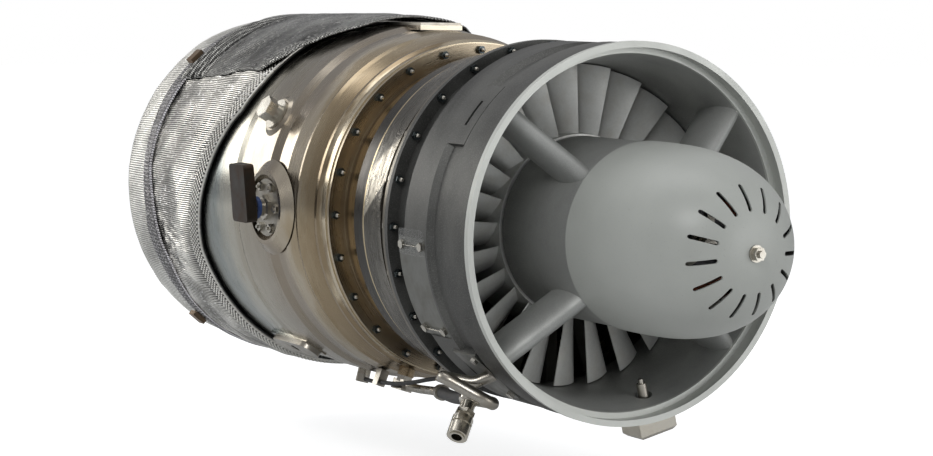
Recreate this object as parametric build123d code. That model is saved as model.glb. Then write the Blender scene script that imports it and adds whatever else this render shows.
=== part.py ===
from build123d import *
import math
import os

# A small single-shaft turbojet engine. Millimetres. The engine's axis is Y: the intake rim's front
# face stands at y = 0 and the exhaust is towards +Y, with +Z up. An angle round the engine is counted
# from the top (+Z) towards +X, and the rotor turns that way.

# Running, seating and sliding clearances
TIP_GAP = 1.2            # blade tip to casing
SEAT_GAP = 0.05          # radial slack of a part that is fitted in or on another
BEARING_GAP = 0.25       # between rolling parts and their tracks
SLEEVE_GAP = 0.08        # coupler sleeve to its body
AIR_GAP = 1.0            # alternator magnet to core
STAGE_GAP = 3.0          # between a turning row and a still one

# Air intake casting
RIM_R = 165.0
RIM_LENGTH = 6.0
RECESS_R = 159.5         # seat for an air duct, in the rim's face
RECESS_DEPTH = 12.0
MOUTH_R = 154.5          # duct radius behind the recess
DUCT_R = 144.2           # duct radius over the first rotor
THROAT_Y = 88.0
COLLAR_R = 163.5
COLLAR_END = 43.0
GROOVE_R = 158.0
GROOVE_START = 50.0
GROOVE_END = 68.0
BARREL_R = 162.5
BARREL_START = 74.0
BARREL_END = 112.0
NECK_R = 152.0
NECK_START = 116.0
FLANGE_R = 163.0
FLANGE_T = 5.0
FRONT_JOINT = 147.0      # the plane where the intake meets the compressor casing

# Hub and struts, part of the same casting
HUB_R = 80.0
HUB_WALL = 6.0
HUB_FRONT = -17.5
HUB_END = 86.0
SPIGOT_LENGTH = 14.5     # the step that the nose cowl slides over
WEB_FACE = 52.0
WEB_T = 8.0
STRUT_ANGLE = 48.0       # each side of the top and of the bottom
STRUT_CHORD = 50.0
STRUT_T = 21.0
STRUT_Y = 23.0           # where a strut's middle crosses the radius below
STRUT_MID_R = 110.0
STRUT_RAKE = 0.4         # how far a strut leans back for each millimetre outwards
STRUT_WALL_DEPTH = 3.0   # how deep a strut's ends run into hub and duct wall

# Nose cowl
COWL_R = 81.3
COWL_T = 1.6
COWL_LENGTH = 154.5
COWL_FRONT_POWER = 3.16  # these two powers give the cowl its blunt bullet form
COWL_SIDE_POWER = 2.41
COWL_POINTS = 10
SLOT_COUNT = 15
SLOT_INNER_R = 33.0
SLOT_OUTER_R = 54.0
SLOT_W = 3.6
SLOT_PHASE = -3.0
STUD_R = 3.0
NOSE_NUT_AF = 10.0
NOSE_NUT_H = 6.0
NOSE_WASHER_T = 1.2

# Alternator in the nose
CAN_R = 51.5
CAN_WALL = 3.5
CAN_FLANGE_R = 66.0
CAN_FLANGE_T = 5.0
CAN_FRONT = -104.0
CORE_FRONT = -95.0
CORE_LENGTH = 48.0
CORE_BORE_R = 30.0
COIL_COUNT = 9
COIL_W = 6.0
COIL_DEPTH = 11.0
COIL_HEAD = 7.0
MAGNET_BORE_R = 12.0
SPIDER_T = 6.0
SPIDER_ARM_W = 7.0

# Shaft and its bearings
NOSE_SHAFT_R = 12.0
NECK_SHAFT_R = 14.0
SHAFT_R = 15.0           # under the front bearing
DRUM_SHAFT_R = 22.0      # under the compressor discs
REAR_SHAFT_R = 20.0
TAIL_SHAFT_R = 16.0
COLLAR_SHAFT_R = 30.0
COLLAR_SHAFT_T = 8.0
FRONT_BEARING_Y = 58.0
FRONT_BEARING_W = 16.0
FRONT_BEARING_OR = 31.0
BALL_COUNT = 7
BALL_R = 4.7
BALL_PITCH_R = 23.0
RACE_LIP = 3.1           # race edge to ball centre circle
BOSS_WALL = 9.0
SHOULDER = 4.0
CAGE_T = 1.6
REAR_BEARING_Y = 476.0
REAR_BEARING_W = 18.0
REAR_BEARING_OR = 40.0
ROLLER_COUNT = 10
ROLLER_R = 4.3
ROLLER_L = 12.0
ROLLER_PITCH_R = 29.6
NUT_T = 9.0
NUT_WALL = 8.0

# Compressor: three turning rows, two still rows and the outlet guide vanes
BLADE_COUNT = 25
BLADE_EDGE = 0.8
BLADE_INSET = dict(front=3.0, back=4.0)  # from a disc's edges to its straight blades
BLADE_STAGGER = 45.0
STATOR_OVERHANG = 1.5    # vane tip to the turning drum
BLADE_ROOT = dict(lead_y=92.0, chord=28.0, stagger=46.0, thick=2.6, camber=1.8)
BLADE_TIP = dict(lead_y=97.0, chord=33.0, stagger=66.0, thick=1.8, camber=1.5)
HUB_LINE = ((89.0, 81.5), (124.0, 86.0), (151.0, 90.0), (178.0, 95.0), (205.0, 99.0), (229.0, 103.0),
            (270.0, 106.0))
DISC_HUB_R = 34.0
DISC_WEB_T = 6.0
RIM_WALL = 4.0
STAGE_2_R = 142.5
STAGE_3_FRONT_R = 137.5
STAGE_3_REAR_R = 134.0
STAGE_2_BLADE_COUNT = 21
STAGE_3_BLADE_COUNT = 23
VANE_COUNT = 22
VANE_T = 2.4
VANE_INSET = 1.5
VANE_STAGGER = 30.0
VANE_RING_T = 3.2
VANE_RING_2_T = 2.6
GUIDE_VANE_COUNT = 20
GUIDE_VANE_INSET = 3.0
GUIDE_VANE_STAGGER = 12.0
GUIDE_RING_T = 6.0
CASING_FLANGE_T = 3.5
CASING_R = 150.0
CASING_STEP_Y = 212.0
CASING_BAND_R = 148.5
WAIST_R = 141.0
WAIST_FALL = 6.0
REAR_FLANGE_R = 157.0
REAR_JOINT = 270.0       # the plane where the compressor casing meets the combustor casing
STRAP_START = 177.0
STRAP_END = 208.0
STRAP_T = 1.0
STRAP_LAP = (-86.0, -76.0)

# Combustor
CASE_T = 2.4
CASE_FLANGE_R = 158.0
CASE_R = 170.5
CASE_BAND_R = 172.0
CASE_BAND = (368.0, 426.0)
# Rise over the front flange and distance behind the joint.
CASE_SWAGES = ((0.0, 0.0), (0.0, 8.0), (2.5, 13.0), (2.5, 17.0), (1.0, 21.0), (6.0, 37.0), (8.0, 42.0),
               (6.5, 48.0), (10.0, 66.0), (10.5, 86.0))
TURBINE_JOINT = 535.0
TURBINE_FLANGE_R = 174.0
INNER_CASE_R = 60.0
INNER_CASE_T = 3.0
INNER_CONE_L = 60.0
LINER_R = 147.0
LINER_INNER_R = 93.0
LINER_T = 1.5
LINER_FRONT = 308.0
LINER_SHOULDER = (6.0, 8.0)  # how far the front corners are cut, inwards and backwards
LINER_TAPER_L = 40.0
LINER_HOLE_COUNT = 12
LINER_HOLE_W = 14.0
LINER_HOLE_Y = 350.0
MANIFOLD_R = 119.0
MANIFOLD_Y = 292.0
MANIFOLD_TUBE_R = 5.0
INJECTOR_COUNT = 12
INJECTOR_AF = 10.0
INJECTOR_END = 322.0

# Turbine and exhaust
NOZZLE_Y = 505.0
GAS_RING_T = 4.0
HOT_BLADE_T = 3.5
HOT_BLADE_FOOT = 2.0
NOZZLE_STAGGER = 45.0
GAS_OUTER_R = 145.0
GAS_INNER_R = 103.0
NOZZLE_VANE_COUNT = 17
TURBINE_BLADE_COUNT = 23
TURBINE_Y = 545.0
TURBINE_W = 20.0
TURBINE_STAGGER = 40.0
TURBINE_RIM = (8.0, 16.0)    # how deep the rim's face and the wheel's waist lie
SHROUD_END = 572.0
REAR_SHELL_R = 165.0
REAR_SHELL_T = 2.5
SHOULDER_Y = 690.0
LIP_R = 107.0
LIP_Y = 738.0
LIP_ROLL = 8.0
PIPE_STRAIGHT = 16.0
PIPE_CONE_START = 600.0
CONE_R = 100.0
CONE_WAIST_R = 62.0
CONE_TIP = 712.0
CONE_STRUT_COUNT = 4
CONE_STRUT = dict(start=8.0, end=30.0, thick=7.0, foot=12.0)

# Heat blanket over the hot end
BLANKET_GAP = 0.3        # from the widest flange to the blanket
BLANKET_T = 4.2
BLANKET_BORE_R = TURBINE_FLANGE_R + BLANKET_GAP
BLANKET_R = BLANKET_BORE_R + BLANKET_T
BLANKET_FRONT_END = 380.0
BLANKET_CROWN = 1.0      # how much the front blanket bulges
BLANKET_CROWN_Y = 455.0
BLANKET_SEAM = 632.0
BLANKET_TOP_GAP = 36.0   # from the top bracket to the blanket's front edge
BLANKET_SLANT = 0.33     # how far the edge runs forward for each millimetre upwards
BLANKET_LOW_Y = 517.0    # where the edge lies below the engine's middle
FLAP_T = 2.0
FLAP_FRONT = 396.0
FLAP_LEAN = 32.0         # how far the flap's front edge leans back down the sides, in degrees
FLAP_HALF_ANGLE = 56.0
BAND_T = 2.0
BAND_W = 22.0
BAND_FALL = 2.0          # how much the blanket falls towards the seam
TAIL_EDGE = 16.0         # from the nozzle's lip to the rear blanket's inner edge
LUG = dict(length=16.0, width=12.0, height=5.0)
LUG_ANGLES = (-42.0, -140.0, 60.0, 150.0)

# Fasteners
FLANGE_BOLT_COUNT = 24
FLANGE_BOLT_R = 158.0    # pitch radius on the front flange
REAR_BOLT_R = 151.0      # pitch radius on the rear flange
NUT_AF = 7.0
NUT_H = 3.6
HEAD_H = 3.5
SMALL_AF = 7.0
SMALL_H = 3.0

# Fittings on the outside: angle round the engine, place along it, and size
SIDE_PLATE = dict(first=-124.5, last=-92.0, start=77.0, end=124.0)
SIDE_SEAT_R = 159.5
PLATE_T = 2.0
PLATE_EDGE = 1.0
LOWER_PLATE = dict(angle=-139.5, y=67.0)
LOWER_PLATE_L = 62.0
LOWER_PLATE_W = 38.0
LOWER_PLATE_R = 160.0
GUSSET = dict(first=-62.0, last=-40.0, start=44.0, end=76.0)
GUSSET_SLIT_L = 26.0
GUSSET_SLIT_W = 4.0
PROBE = dict(angle=166.0, y=35.0)
PROBE_HOLE_R = 7.8
PROBE_R = 4.6
PROBE_RISE = 8.0
FOOT_L = 38.0
FOOT_W = 30.0
FOOT_H = 21.6
FOOT_CHAMFER = 3.0
IGNITER = dict(angle=-60.3, y=386.0)
IGNITER_AF = 20.0
IGNITER_R = 7.0
IGNITER_BOSS_R = 17.0
IGNITER_BOSS_H = 2.0
IGNITER_WASHER_R = 15.0
IGNITER_NECK_R = 9.0
IGNITER_NECK_H = 7.0
IGNITER_HEAD_H = 9.5
BOSS_SPREAD = 10.0       # how much wider a boss is at the casing's wall than at its face
SIDE_PORT = dict(angle=-90.0, y=364.0)
PORT_R = 35.0
PORT_BORE_R = 31.0
PORT_RISE = 2.5
PORT_DEPTH = 6.5
ADAPTOR_R = 27.0
ADAPTOR_T = 4.0
ADAPTOR_NECK_R = 8.0
SEAL_WALL = 2.5
SEAL_W = 4.0
BLOCK_STAND = 15.0       # from the port's face to the block
BLOCK_T = 10.8
BLOCK_L = 31.7
BLOCK_H = 54.4
BLOCK_LIFT = 15.0
BLOCK_CANT = -5.3        # the block's face is canted down a little
BLOCK_CORNER = 4.0
LOWER_PAD = dict(angle=-146.0, y=446.0, width=26.0, length=78.0)
LOWER_HOLE_R = 5.0
TOP_PAD = dict(angle=0.0, y=376.0, width=46.0, length=74.0)
TOP_PAD_RISE = 0.5
PAD_MARGIN = 2.0
BRACKET_T = 2.5
BRACKET_HOLE_R = 4.2
BRACKET_HOLES = (24.0, 40.0)
FEED = dict(angle=-161.0, y=302.0)
FEED_TOP = 168.0
GLAND = dict(angle=-165.3, y=404.5)
SOCKET = dict(angle=-158.4, y=221.5)
CONNECTOR_R = 6.5
CONNECTOR_CAP = 1.5
FITTING_H = 5.0         # how far a fitting's boss stands out of the casing

# Fuel pipework under the intake: points chosen by hand along each pipe, as x, y, z
PIPE_R = 5.5
PIPE_BEND_R = 11.5
PIPE_ROUTE = ((-98.0, 57.0, -120.0), (-118.0, 66.0, -129.0), (-136.0, 88.0, -126.0), (-148.0, 66.0, -122.0),
              (-119.0, 31.0, -143.0), (-107.0, 53.0, -145.0), (-118.0, 72.0, -143.6))
TEE = PIPE_ROUTE[-1]
TEE_R = 8.5
COUPLER_AXIS = (-0.569, -0.459, -0.683)
COUPLER_L = 42.0
COUPLER_R = 6.6
COUPLER_BORE_R = 4.8
COUPLER_BORE_DEPTH = 18.0
SLEEVE_R = 9.2
SLEEVE_L = 20.0
SLEEVE_TRAVEL = 2.5
SLEEVE_STOP = 0.5        # what is left between the pulled sleeve and its stop
SLEEVE_GROOVE = 1.5
SLEEVE_END = 1.0
COUPLER_NUT = dict(across=15.6, length=4.0)
NIPPLE_R = 6.2
NIPPLE_L = 18.0
HOSE_R = 5.5
HOSE_ROUTE = (TEE, (-97.0, 134.0, -153.0), (-74.0, 196.0, -158.8))
COLLAR_L = 12.0
COLLAR_WALL = 1.8
FEED_PIPE_R = 4.0
UNION = dict(across=14.0, length=6.0, start=4.0, width=12.0, reach=20.0, height=10.0)
FEED_ROUTE = (HOSE_ROUTE[-1], (-69.0, 222.0, -161.0), (-58.5, 266.0, -166.2), (-57.0, 300.0, -165.5))
LEAD_R = 2.0
LEAD_ROUTE = ((-158.4, 228.0, 162.0), (-157.4, 243.0, 166.5), (-157.0, 259.0, 171.5), (-157.2, 277.0, 175.3),
              (-157.2, 298.0, 178.8), (-158.6, 333.0, 180.6), (-162.6, 366.0, 181.2), (-165.3, 398.0, 181.5))
CLIP_AT = 333.0
CLIP_L = 9.0
CLIP_COVER = 1.5


# Helpers

def turned(*points):
    """A solid turned about the engine's axis, from the corners (radius, y) of its section."""
    return revolve(make_face(Polyline(*points, close=True)), Axis.Y)


def seat(angle, y, radius):
    """A place on the engine: local Z points outwards, local Y aft and local X round the engine."""
    return Rot(0, angle, 0) * Pos(0, y, radius)


def patch(first, last, *points):
    """A turned section that spans only the angles from first to last."""
    section = make_face(Polyline(*points, close=True))
    return Rot(0, first - 90, 0) * revolve(section, Axis.Y, last - first)


def around(shape, count, first=0.0):
    """Copies of a shape, evenly spaced round the engine."""
    return [Rot(0, first + 360 * i / count, 0) * shape for i in range(count)]


def stub(radius, length):
    """A cylinder that stands on its end."""
    return Cylinder(radius, length, align=(Align.CENTER, Align.CENTER, Align.MIN))


def hexagon(across_flats, length):
    """A hexagon prism that stands on its end."""
    return extrude(RegularPolygon(across_flats / math.sqrt(3), 6), length)


def block(length, width, height):
    """A box that stands on its end: length along local X, width along local Y."""
    return Box(length, width, height, align=(Align.CENTER, Align.CENTER, Align.MIN))


def facing_front(y, radius, angle=0.0):
    """A place on a flange: local Z points forward."""
    return seat(angle, y, radius) * Rot(90, 0, 0)


def facing_back(y, radius, angle=0.0):
    """A place on a flange: local Z points aft."""
    return seat(angle, y, radius) * Rot(-90, 0, 0)


def on_axis(values, y):
    """Value at y on a line through (y, value) points."""
    for (y0, v0), (y1, v1) in zip(values, values[1:]):
        if y <= y1:
            return v0 + (v1 - v0) * (y - y0) / (y1 - y0)
    return values[-1][1]


def hub_line(y):
    """Radius of the gas path's inner wall in the compressor."""
    return on_axis(HUB_LINE, y)


def tube(route, radius, bend):
    """A round tube along straight runs joined by tangent arcs."""
    path = FilletPolyline(*route, radius=bend)
    start = Plane(origin=path @ 0, z_dir=path % 0)
    return sweep(start * Circle(radius), path=path)


def easy_bends(route):
    """The largest arc that the runs on each side of a point allow."""
    points = [Vector(point) for point in route]
    bends = []
    for before, point, after in zip(points, points[1:], points[2:]):
        turn = math.radians((point - before).get_angle(after - point))
        bends.append(0.45 * min((point - before).length, (after - point).length) / math.tan(turn / 2))
    return bends


def cord(name, route, radius):
    """A flexible line along its route, each bend as large as its runs allow."""
    bends = easy_bends(route)
    print(name, "bend radii", [round(bend) for bend in bends])
    return tube(route, radius, bends)


def kite(start, end, stagger, thick):
    """The section of a straight blade from y start to y end; a positive stagger leans it towards +X."""
    reach = half_width(start, end, stagger)
    middle = Vector(0, (start + end) / 2)
    across = Vector(math.cos(math.radians(stagger)), -math.sin(math.radians(stagger))) * (thick / 2)
    return make_face(Polyline((-reach, start), middle + across, (reach, end), middle - across, close=True))


def half_width(start, end, stagger):
    """How far a straight blade reaches to each side of its middle."""
    return (end - start) / 2 * math.tan(math.radians(stagger))


def flat_tip(radius, start, end, stagger):
    """Height of a straight blade's flat tip whose corners reach the radius."""
    return math.sqrt(radius ** 2 - half_width(start, end, stagger) ** 2)


def blade_row(count, inner, outer, start, end, stagger, thick=VANE_T):
    """Straight blades round the engine, their ends inside the walls that carry them."""
    return around(Pos(0, 0, inner) * extrude(kite(start, end, stagger, thick), outer - inner), count)


def inside(radius):
    """A cylinder about the engine's axis, which trims blade tips to a running radius."""
    return Rot(90, 0, 0) * Cylinder(radius, REAR_JOINT * 8)


# Air intake

def strut(angle):
    """A raked strut of elliptical section; its ends lie inside the hub's wall and the duct's wall."""
    lean = math.degrees(math.atan(STRUT_RAKE))
    foot = STRUT_Y - STRUT_RAKE * STRUT_MID_R
    section = Pos(0, foot, 0) * Rot(-lean, 0, 0) * Ellipse(STRUT_T / 2, STRUT_CHORD / 2)
    return Rot(0, angle, 0) * extrude(section, RIM_R * 1.2)


def intake_wall():
    """The duct wall: rim, collar, groove, barrel and front flange."""
    throat = (DUCT_R, THROAT_Y)
    mouth = (MOUTH_R, RECESS_DEPTH)
    flange_face = FRONT_JOINT - FLANGE_T
    vane_seat = hub_seat_1()
    outside = Polyline(
        mouth, (RECESS_R, RECESS_DEPTH), (RECESS_R, 0), (RIM_R, 0), (RIM_R, RIM_LENGTH), (COLLAR_R, RIM_LENGTH),
        (COLLAR_R, COLLAR_END), (GROOVE_R, GROOVE_START), (GROOVE_R, GROOVE_END), (BARREL_R, BARREL_START),
        (BARREL_R, BARREL_END), (NECK_R, NECK_START), (NECK_R, flange_face), (FLANGE_R, flange_face),
        (FLANGE_R, FRONT_JOINT), (DUCT_R + VANE_RING_T, FRONT_JOINT), (DUCT_R + VANE_RING_T, vane_seat),
        (DUCT_R, vane_seat), throat)
    return revolve(make_face([outside, TangentArc(throat, mouth, tangent=(0, -1))]), Axis.Y)


def hub_seat_1():
    """Where the first vane ring's seat begins, behind the first rotor."""
    return HUB_LINE[1][0] + STAGE_GAP


def intake_hub():
    """The hub: a shell with a spigot for the cowl and a web that carries the front bearing."""
    inside = HUB_R - HUB_WALL
    spigot = COWL_R - COWL_T - SEAT_GAP
    web_back = WEB_FACE + WEB_T
    boss_r = FRONT_BEARING_OR + BOSS_WALL
    shoulder_r = FRONT_BEARING_OR - SHOULDER
    boss_end = FRONT_BEARING_Y + FRONT_BEARING_W + SHOULDER
    return turned(
        (HUB_R, HUB_FRONT), (HUB_R, HUB_END), (inside, HUB_END), (inside, web_back), (boss_r, web_back),
        (boss_r, boss_end), (FRONT_BEARING_OR, boss_end), (FRONT_BEARING_OR, FRONT_BEARING_Y),
        (shoulder_r, FRONT_BEARING_Y), (shoulder_r, WEB_FACE), (inside, WEB_FACE),
        (inside, HUB_FRONT - SPIGOT_LENGTH), (spigot, HUB_FRONT - SPIGOT_LENGTH), (spigot, HUB_FRONT))


def intake_casing():
    """One casting: rim, duct wall, hub and four struts, with its pads and the probe's hole."""
    struts = [strut(side * STRUT_ANGLE + turn) for turn in (0, 180) for side in (-1, 1)]
    reach = Pos(0, STRUT_Y, 0) * Rot(90, 0, 0) * (
        Cylinder(GROOVE_R - STRUT_WALL_DEPTH, STRUT_CHORD * 3) - Cylinder(HUB_R - STRUT_WALL_DEPTH, STRUT_CHORD * 3))
    casting = intake_wall() + intake_hub() + [piece & reach for piece in struts]
    casting -= side_patch(SIDE_SEAT_R, RIM_R)
    casting += side_patch(NECK_R - STRUT_WALL_DEPTH, SIDE_SEAT_R)
    casting -= seat(LOWER_PLATE["angle"], LOWER_PLATE["y"], LOWER_PLATE_R) * block(
        LOWER_PLATE_L, LOWER_PLATE_W, RIM_R)
    casting += seat(LOWER_PLATE["angle"], LOWER_PLATE["y"], LOWER_PLATE_R - BOSS_WALL) * block(
        LOWER_PLATE_L, LOWER_PLATE_W, BOSS_WALL)
    casting += patch(GUSSET["first"], GUSSET["last"], (GROOVE_R - STRUT_WALL_DEPTH, GUSSET["start"]),
                     (COLLAR_R, GUSSET["start"]), (BARREL_R, GUSSET["end"]),
                     (GROOVE_R - STRUT_WALL_DEPTH, GUSSET["end"]))
    slit = seat((GUSSET["first"] + GUSSET["last"]) / 2, (GROOVE_START + GROOVE_END) / 2, GROOVE_R)
    casting -= slit * block(GUSSET_SLIT_L, GUSSET_SLIT_W, BOSS_WALL)
    probe = seat(PROBE["angle"], PROBE["y"], DUCT_R)
    casting -= probe * stub(PROBE_HOLE_R, RIM_R - DUCT_R)
    foot = seat(PROBE["angle"], PROBE["y"], foot_face())
    casting -= foot * block(FOOT_L * 2, FOOT_W, RIM_R)
    return casting


def side_patch(inner, outer):
    """A band of the casting under the side cover plate."""
    first, last, start, end = SIDE_PLATE.values()
    return patch(first, last, (inner, start), (outer, start), (outer, end), (inner, end))


def foot_face():
    """Distance from the axis of the flat that is milled on the casting for the probe's housing."""
    return math.sqrt(COLLAR_R ** 2 - (FOOT_L / 2) ** 2)


def cowl_curve(radius, length, stop):
    """The cowl's outline from its base to the radius where it stops, by one formula."""
    def radius_at(share):
        return radius * (1 - share ** COWL_FRONT_POWER) ** (1 / COWL_SIDE_POWER)

    last = (1 - (stop / radius) ** COWL_SIDE_POWER) ** (1 / COWL_FRONT_POWER)
    shares = [last * math.sin(math.pi / 2 * i / (COWL_POINTS - 1)) for i in range(COWL_POINTS)]
    points = [(radius_at(share), HUB_FRONT - share * length) for share in shares]
    return Spline(*points, tangents=[(0, -1), (-1, -0.04)])


def nose_cowl():
    """The spun bullet cowl, with its ring of cooling slots and the hole for the stud."""
    hole = STUD_R + SEAT_GAP
    outer = cowl_curve(COWL_R, COWL_LENGTH, hole)
    inner = cowl_curve(COWL_R - COWL_T, COWL_LENGTH - COWL_T, hole)
    ends = [Line(outer @ 0, inner @ 0), Line(outer @ 1, inner @ 1)]
    shell = revolve(make_face([outer, inner, *ends]), Axis.Y)
    length = SLOT_OUTER_R - SLOT_INNER_R
    slot = facing_front(CAN_FRONT, (SLOT_OUTER_R + SLOT_INNER_R) / 2) * extrude(
        SlotOverall(length, SLOT_W, rotation=90), COWL_LENGTH)
    return shell - around(slot, SLOT_COUNT, SLOT_PHASE)


def cowl_tip():
    """Front of the cowl at the stud."""
    return HUB_FRONT - COWL_LENGTH


def nose_support():
    """A three-armed spider on the alternator, with the stud that holds the cowl."""
    back = CAN_FRONT
    front = back - SPIDER_T
    ring = turned((CAN_R, back), (CAN_R, front), (CAN_R - CAN_WALL * 2, front), (CAN_R - CAN_WALL * 2, back))
    arm = Pos(0, (back + front) / 2, 0) * block(SPIDER_ARM_W, SPIDER_T, CAN_R - CAN_WALL)
    stud_end = cowl_tip() - NOSE_NUT_H - STUD_R
    stud = facing_front(back, 0) * stub(STUD_R, back - stud_end)
    return ring + around(arm, 3) + facing_front(back, 0) * stub(SPIDER_ARM_W, SPIDER_T) + stud


def nose_nut():
    """The nut with its washer face that closes the cowl."""
    place = facing_front(cowl_tip(), 0)
    hexagon_h = NOSE_NUT_H - NOSE_WASHER_T
    nut = stub(NOSE_NUT_AF * 0.7, NOSE_WASHER_T) + Pos(0, 0, NOSE_WASHER_T) * hexagon(NOSE_NUT_AF, hexagon_h)
    return place * (nut - stub(STUD_R + SEAT_GAP, NOSE_NUT_H))


def inlet_probe():
    """The temperature probe that stands in the air stream."""
    place = seat(PROBE["angle"], PROBE["y"], foot_face())
    inwards = place * Rot(180, 0, 0)
    depth = foot_face() - (MOUTH_R - PROBE_RISE * 2)
    stem = inwards * stub(PROBE_R, depth)
    tip = inwards * Pos(0, 0, depth) * stub(PROBE_R * 0.5, PROBE_RISE / 2)
    return stem + tip


def probe_housing():
    """The plated housing of the probe, under the rim."""
    body = block(FOOT_L, FOOT_W, FOOT_H)
    body = chamfer(body.faces().sort_by(Axis.Z)[-1].edges(), FOOT_CHAMFER)
    return seat(PROBE["angle"], PROBE["y"], foot_face()) * body


def side_cover_plate():
    """The curved cover plate on the casting's side."""
    return side_patch(SIDE_SEAT_R, SIDE_SEAT_R + PLATE_T)


def lower_cover_plate():
    """The flat cover plate that the fuel pipe comes out of."""
    return seat(LOWER_PLATE["angle"], LOWER_PLATE["y"], LOWER_PLATE_R) * block(
        LOWER_PLATE_L - 2 * PLATE_EDGE, LOWER_PLATE_W - 2 * PLATE_EDGE, PLATE_T)


def cover_bolts():
    """The heads of the bolts that hold the two cover plates."""
    inset = SMALL_AF
    top = SIDE_SEAT_R + PLATE_T
    turn = math.degrees(inset / top)
    head = hexagon(SMALL_AF, SMALL_H)
    side = [seat(angle, y, top) * head
            for angle in (SIDE_PLATE["first"] + turn, SIDE_PLATE["last"] - turn)
            for y in (SIDE_PLATE["start"] + inset, SIDE_PLATE["end"] - inset)]
    plate = seat(LOWER_PLATE["angle"], LOWER_PLATE["y"], LOWER_PLATE_R + PLATE_T)
    reach = LOWER_PLATE_L / 2 - inset
    lower = [plate * Pos(x, inset - LOWER_PLATE_W / 2, 0) * head for x in (-reach, reach)]
    return Compound(children=side + lower)


# Alternator in the nose

def alternator_housing():
    """The can that holds the alternator, on the hub's web."""
    back = WEB_FACE
    bore = CAN_R - CAN_WALL
    return turned((CAN_R, CAN_FRONT), (CAN_R, back - CAN_FLANGE_T), (CAN_FLANGE_R, back - CAN_FLANGE_T),
                  (CAN_FLANGE_R, back), (bore, back), (bore, CAN_FRONT))


def alternator_core():
    """The laminated core, with a slot for each coil side."""
    core_r = CAN_R - CAN_WALL - SEAT_GAP
    end = CORE_FRONT + CORE_LENGTH
    core = turned((core_r, CORE_FRONT), (core_r, end), (CORE_BORE_R, end), (CORE_BORE_R, CORE_FRONT))
    slot = Pos(0, (CORE_FRONT + end) / 2, CORE_BORE_R - 1) * block(COIL_W, CORE_LENGTH, COIL_DEPTH + 1)
    return core - around(slot, COIL_COUNT)


def alternator_windings():
    """The copper windings: a bar in each slot and a ring of wire at each end of the core."""
    end = CORE_FRONT + CORE_LENGTH
    inner = CORE_BORE_R + AIR_GAP
    outer = CORE_BORE_R + COIL_DEPTH
    heads = [turned((inner, y), (inner, y + COIL_HEAD), (outer, y + COIL_HEAD), (outer, y))
             for y in (CORE_FRONT - COIL_HEAD, end)]
    bar = Pos(0, (CORE_FRONT + end) / 2, inner)
    bar *= block(COIL_W - 1, CORE_LENGTH, COIL_DEPTH - AIR_GAP - SEAT_GAP)
    return heads[0] + heads[1] + around(bar, COIL_COUNT)


def alternator_rotor():
    """The magnet drum on the front of the shaft."""
    magnet_r = CORE_BORE_R - AIR_GAP
    end = CORE_FRONT + CORE_LENGTH
    bore = MAGNET_BORE_R + SEAT_GAP
    return turned((magnet_r, CORE_FRONT), (magnet_r, end), (bore, end), (bore, CORE_FRONT))


# Shaft and bearings

def front_bearing_end():
    """Back face of the front bearing."""
    return FRONT_BEARING_Y + FRONT_BEARING_W


def drum_front():
    """Front face of the compressor drum, where the first disc is clamped."""
    return front_bearing_end() + SHOULDER


def shaft_collar():
    """The collar that the third disc is pulled against."""
    return HUB_LINE[5][0] + STAGE_GAP * 2


def shaft():
    """The stepped shaft from the alternator to the turbine."""
    collar = shaft_collar()
    nose = CORE_FRONT - SHOULDER
    shoulder = CORE_FRONT + CORE_LENGTH
    rear = REAR_BEARING_Y - SHOULDER
    tail = TURBINE_Y + TURBINE_W
    return turned(
        (0, nose), (NOSE_SHAFT_R, nose), (NOSE_SHAFT_R, shoulder), (NECK_SHAFT_R, shoulder),
        (NECK_SHAFT_R, FRONT_BEARING_Y - NUT_T), (SHAFT_R, FRONT_BEARING_Y - NUT_T), (SHAFT_R, drum_front()),
        (DRUM_SHAFT_R, drum_front()), (DRUM_SHAFT_R, collar), (COLLAR_SHAFT_R, collar),
        (COLLAR_SHAFT_R, collar + COLLAR_SHAFT_T), (DRUM_SHAFT_R, collar + COLLAR_SHAFT_T), (DRUM_SHAFT_R, rear),
        (DRUM_SHAFT_R + SHOULDER, rear), (DRUM_SHAFT_R + SHOULDER, REAR_BEARING_Y), (REAR_SHAFT_R, REAR_BEARING_Y),
        (REAR_SHAFT_R, tail), (TAIL_SHAFT_R, tail), (TAIL_SHAFT_R, tail + NUT_T), (0, tail + NUT_T))


def shaft_nuts():
    """The round nuts that clamp the front bearing with the compressor, and the turbine."""
    def nut(bore, start):
        return turned((bore + SEAT_GAP, start), (bore + NUT_WALL, start), (bore + NUT_WALL, start + NUT_T),
                      (bore + SEAT_GAP, start + NUT_T))

    rear_face = TURBINE_Y + TURBINE_W
    return Compound(children=[nut(SHAFT_R, FRONT_BEARING_Y - NUT_T), nut(TAIL_SHAFT_R, rear_face)])


def ball_race(inner, outer, start):
    """A race of the front bearing, with its ball track."""
    ring = turned((inner, start), (outer, start), (outer, start + FRONT_BEARING_W), (inner, start + FRONT_BEARING_W))
    track = Pos(0, start + FRONT_BEARING_W / 2, 0) * Rot(90, 0, 0) * Torus(BALL_PITCH_R, BALL_R + BEARING_GAP)
    return ring - track


def front_bearing_inner():
    return ball_race(SHAFT_R + SEAT_GAP, BALL_PITCH_R - RACE_LIP, FRONT_BEARING_Y)


def front_bearing_outer():
    return ball_race(BALL_PITCH_R + RACE_LIP, FRONT_BEARING_OR - SEAT_GAP, FRONT_BEARING_Y)


def front_bearing_balls():
    """The balls and the crown ring that spaces them."""
    middle = FRONT_BEARING_Y + FRONT_BEARING_W / 2
    balls = around(Pos(0, middle, BALL_PITCH_R) * Sphere(BALL_R), BALL_COUNT)
    return Compound(children=[cage_ring(BALL_PITCH_R, middle + BALL_R + SEAT_GAP)] + balls)


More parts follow.
